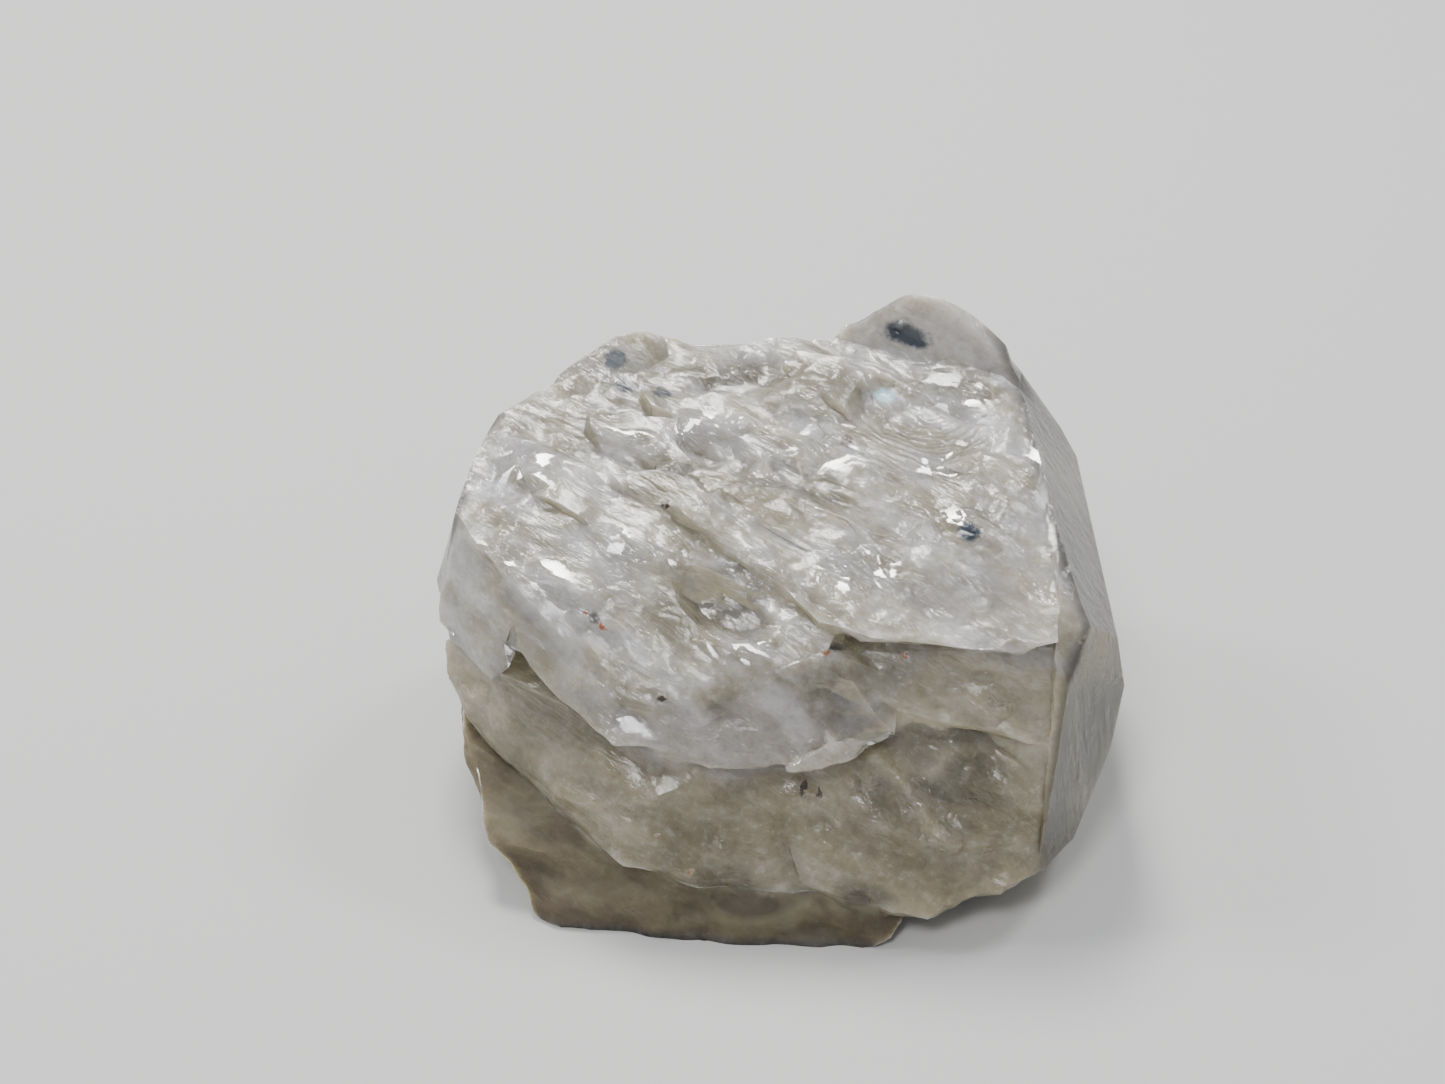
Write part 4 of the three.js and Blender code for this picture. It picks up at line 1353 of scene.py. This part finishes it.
    chip_size: float = 1.7  # of the chips along the rim of the base
    chip_depth: float = 0.5  # the same, inward
    chip_fade: Range = (0.3, 1.6)  # the heights between which they die out
    small_chips: float = 2.5  # how many times smaller the small ones are
    small_chip_share: float = 0.25  # their depth, as a share of the large ones'

    def build(self, solid: bpy.types.Object) -> bpy.types.Object:
        """Builds the dressed stone.

        Args:
            solid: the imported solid.

        Returns:
            The stone.
        """
        mesh = FineMesh.from_object(solid, self.sharp_angle)
        for _ in range(self.rounds):
            mesh = mesh.subdivided()
        faces = (*self.prism_faces, self.base)
        depth = np.min([face.depth(mesh.points) for face in faces], axis=0)
        broken = smooth_step(depth, self.flat_skin, self.fade)
        layers = self._layers(mesh.points, broken)
        self._carve(mesh, broken, layers[Layer.TOP])
        layers[Layer.EDGE] = smooth_step(mesh.convexity(self.edge_rounds), *self.edge_range)
        stone = mesh.to_object("phenakite_stone", self.shaded_sharp_angle)
        for layer, values in layers.items():
            stone.data.attributes.new(layer.value, "FLOAT", "POINT").data.foreach_set("value", values)
        stone.data.materials.append(self.finish.build())
        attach(stone, "root")
        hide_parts(NODE)
        log.info("phenakite_stone: %d faces", len(stone.data.polygons))
        return stone

    def _layers(self, places: np.ndarray, broken: np.ndarray) -> dict[Layer, np.ndarray]:
        """Works out the values that the finish needs.

        Args:
            places: the stone's points.
            broken: 1 on the break, down to 0 on the flat faces.

        Returns:
            For each layer, one value for each point.
        """
        seeds = (Seed.DRIFT_X, Seed.DRIFT_Y, Seed.DRIFT_Z)
        drift = np.stack([SolidNoise(seed).at(places * self.drift_scale) for seed in seeds], axis=1)
        moved = places + drift * self.drift_reach
        shaken = places + drift * self.ledge_drift * smooth_step(places[:, :1], *self.ledge_drift_from)
        return {
            Layer.BROKEN: broken,
            Layer.TOP: self.top_ledge.above(shaken),
            Layer.LOW: 1 - self.low_ledge.above(places),
            Layer.GLINT: strongest(self.glints, moved),
            Layer.CLEAR: strongest(self.clear, moved),
            Layer.POLISH: strongest(self.polished, places),
            Layer.FROST: strongest(self.frosted, moved),
            Layer.SPOT: strongest(self.finish.spots(), places),
        }

    def _carve(self, mesh: FineMesh, broken: np.ndarray, top: np.ndarray) -> None:
        """Wears the ledges, adds the relief, cuts the facets and chips the rim of the base.

        Args:
            mesh: the stone, whose points are moved.
            broken: 1 on the break, down to 0 on the flat faces.
            top: 1 on the top, down to 0 on the front.
        """
        worn = strongest(self.worn, mesh.points)[:, None] * broken[:, None]
        rounded = np.stack([mesh.averaged(axis, self.worn_rounds) for axis in mesh.points.T], axis=1)
        mesh.points = mesh.points + (rounded - mesh.points) * worn
        heights = self.relief.at(mesh.points, top) * broken
        mesh.points = mesh.points + mesh.vertex_normals() * heights[:, None]
        for facet in self.facets:
            mesh.points = facet.cut(mesh.points)
        mesh.points = mesh.points + self._chips(mesh)
        mesh.points[:, 2] = np.maximum(mesh.points[:, 2], 0)

    def _chips(self, mesh: FineMesh) -> np.ndarray:
        """Works out how the rim of the base is chipped.

        Args:
            mesh: the stone.

        Returns:
            How far each point moves, level with the base.
        """
        outward = mesh.vertex_normals() * (1, 1, 0)
        places = mesh.points / self.chip_size
        small = SolidNoise(Seed.SMALL_CHIPS).at(places * self.small_chips)
        chips = SolidNoise(Seed.CHIPS).at(places) + small * self.small_chip_share
        low = 1 - smooth_step(mesh.points[:, 2], *self.chip_fade)
        return outward * (chips * low * self.chip_depth)[:, None]


# --- The studio ---


@dataclass(frozen=True)
class SoftBox:
    """A square soft light that points at the stone."""

    name: str
    azimuth: float  # degrees from +X towards +Y
    lean: float  # degrees above the horizontal
    distance: float
    side: float
    power: float  # watts
    colour: Colour = (1.0, 1.0, 1.0)

    def build(self, aim: np.ndarray) -> None:
        """Adds the light.

        Args:
            aim: the point that it shines at.
        """
        lamp = bpy.data.lights.new(self.name, "AREA")
        lamp.size = self.side * MM
        lamp.energy = self.power
        lamp.color = self.colour
        made = bpy.data.objects.new(self.name, lamp)
        away = direction(self.azimuth, self.lean)
        made.location = (aim + away * self.distance) * MM
        made.rotation_euler = (math.radians(90 - self.lean), 0, math.radians(self.azimuth + 90))
        bpy.context.scene.collection.objects.link(made)


@dataclass
class Studio:
    """A pale floor, soft light all round and a camera."""

    floor_side: float = 4000.0
    floor_colour: Colour = (0.50, 0.50, 0.495)
    floor_roughness: float = 0.7
    sky_colour: Colour = (0.95, 0.97, 1.0)
    sky_strength: float = 0.45
    aim: Point = (-1.47, 0.5, 7.1)
    camera_lean: float = 40.0  # degrees above the horizontal
    camera_distance: float = 63.38  # to the aim
    lens: float = 60.0
    sensor: float = 36.0
    sight: Range = (0.002, 20.0)  # the nearest and the farthest distance it sees, in metres
    lights: tuple[SoftBox, ...] = (
        SoftBox("key_light", 104, 60, 170, 42, 0.33, (1.0, 0.985, 0.96)),
        SoftBox("left_light", 160, 46, 180, 36, 0.13),
        SoftBox("right_light", 38, 52, 180, 36, 0.13, (0.95, 0.97, 1.0)),
        SoftBox("front_light", -118, 60, 220, 60, 0.24),
    )

    def build(self) -> None:
        """Builds the floor, the lights and the camera."""
        self._floor()
        self._sky()
        for light in self.lights:
            light.build(np.array(self.aim))
        self._camera()

    def _floor(self) -> None:
        """Adds the floor."""
        half = self.floor_side / 2 * MM
        mesh = bpy.data.meshes.new("studio_floor")
        corners = [(-half, -half, 0), (half, -half, 0), (half, half, 0), (-half, half, 0)]
        mesh.from_pydata(corners, [], [(0, 1, 2, 3)])
        floor = bpy.data.objects.new("studio_floor", mesh)
        bpy.context.scene.collection.objects.link(floor)
        material = bpy.data.materials.new("studio_floor")
        material.use_nodes = True
        bench = Bench(material.node_tree)
        sockets = {"Base Color": self.floor_colour, "Roughness": self.floor_roughness}
        paper = bench.node("ShaderNodeBsdfPrincipled", {}, sockets)
        bench.node("ShaderNodeOutputMaterial", {}, {"Surface": paper})
        mesh.materials.append(material)

    def _sky(self) -> None:
        """Adds even light from all round."""
        world = bpy.data.worlds.new("studio_sky")
        world.use_nodes = True
        bench = Bench(world.node_tree)
        sockets = {"Color": self.sky_colour, "Strength": self.sky_strength}
        sky = bench.node("ShaderNodeBackground", {}, sockets)
        bench.node("ShaderNodeOutputWorld", {}, {"Surface": sky})
        bpy.context.scene.world = world

    def _camera(self) -> None:
        """Adds the camera."""
        lens = bpy.data.cameras.new("studio_camera")
        lens.lens = self.lens
        lens.sensor_width = self.sensor
        lens.clip_start, lens.clip_end = self.sight
        camera = bpy.data.objects.new("studio_camera", lens)
        back = direction(-90, self.camera_lean)
        camera.location = (np.array(self.aim) + back * self.camera_distance) * MM
        camera.rotation_euler = (math.radians(90 - self.camera_lean), 0, 0)
        bpy.context.scene.collection.objects.link(camera)
        bpy.context.scene.camera = camera


def main() -> None:
    """Loads the frame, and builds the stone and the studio."""
    logging.basicConfig(level=logging.INFO, format="%(name)s: %(message)s")
    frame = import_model()
    Crystal().build(frame["nodes"][NODE])
    Studio().build()


if __name__ == "__main__":
    main()
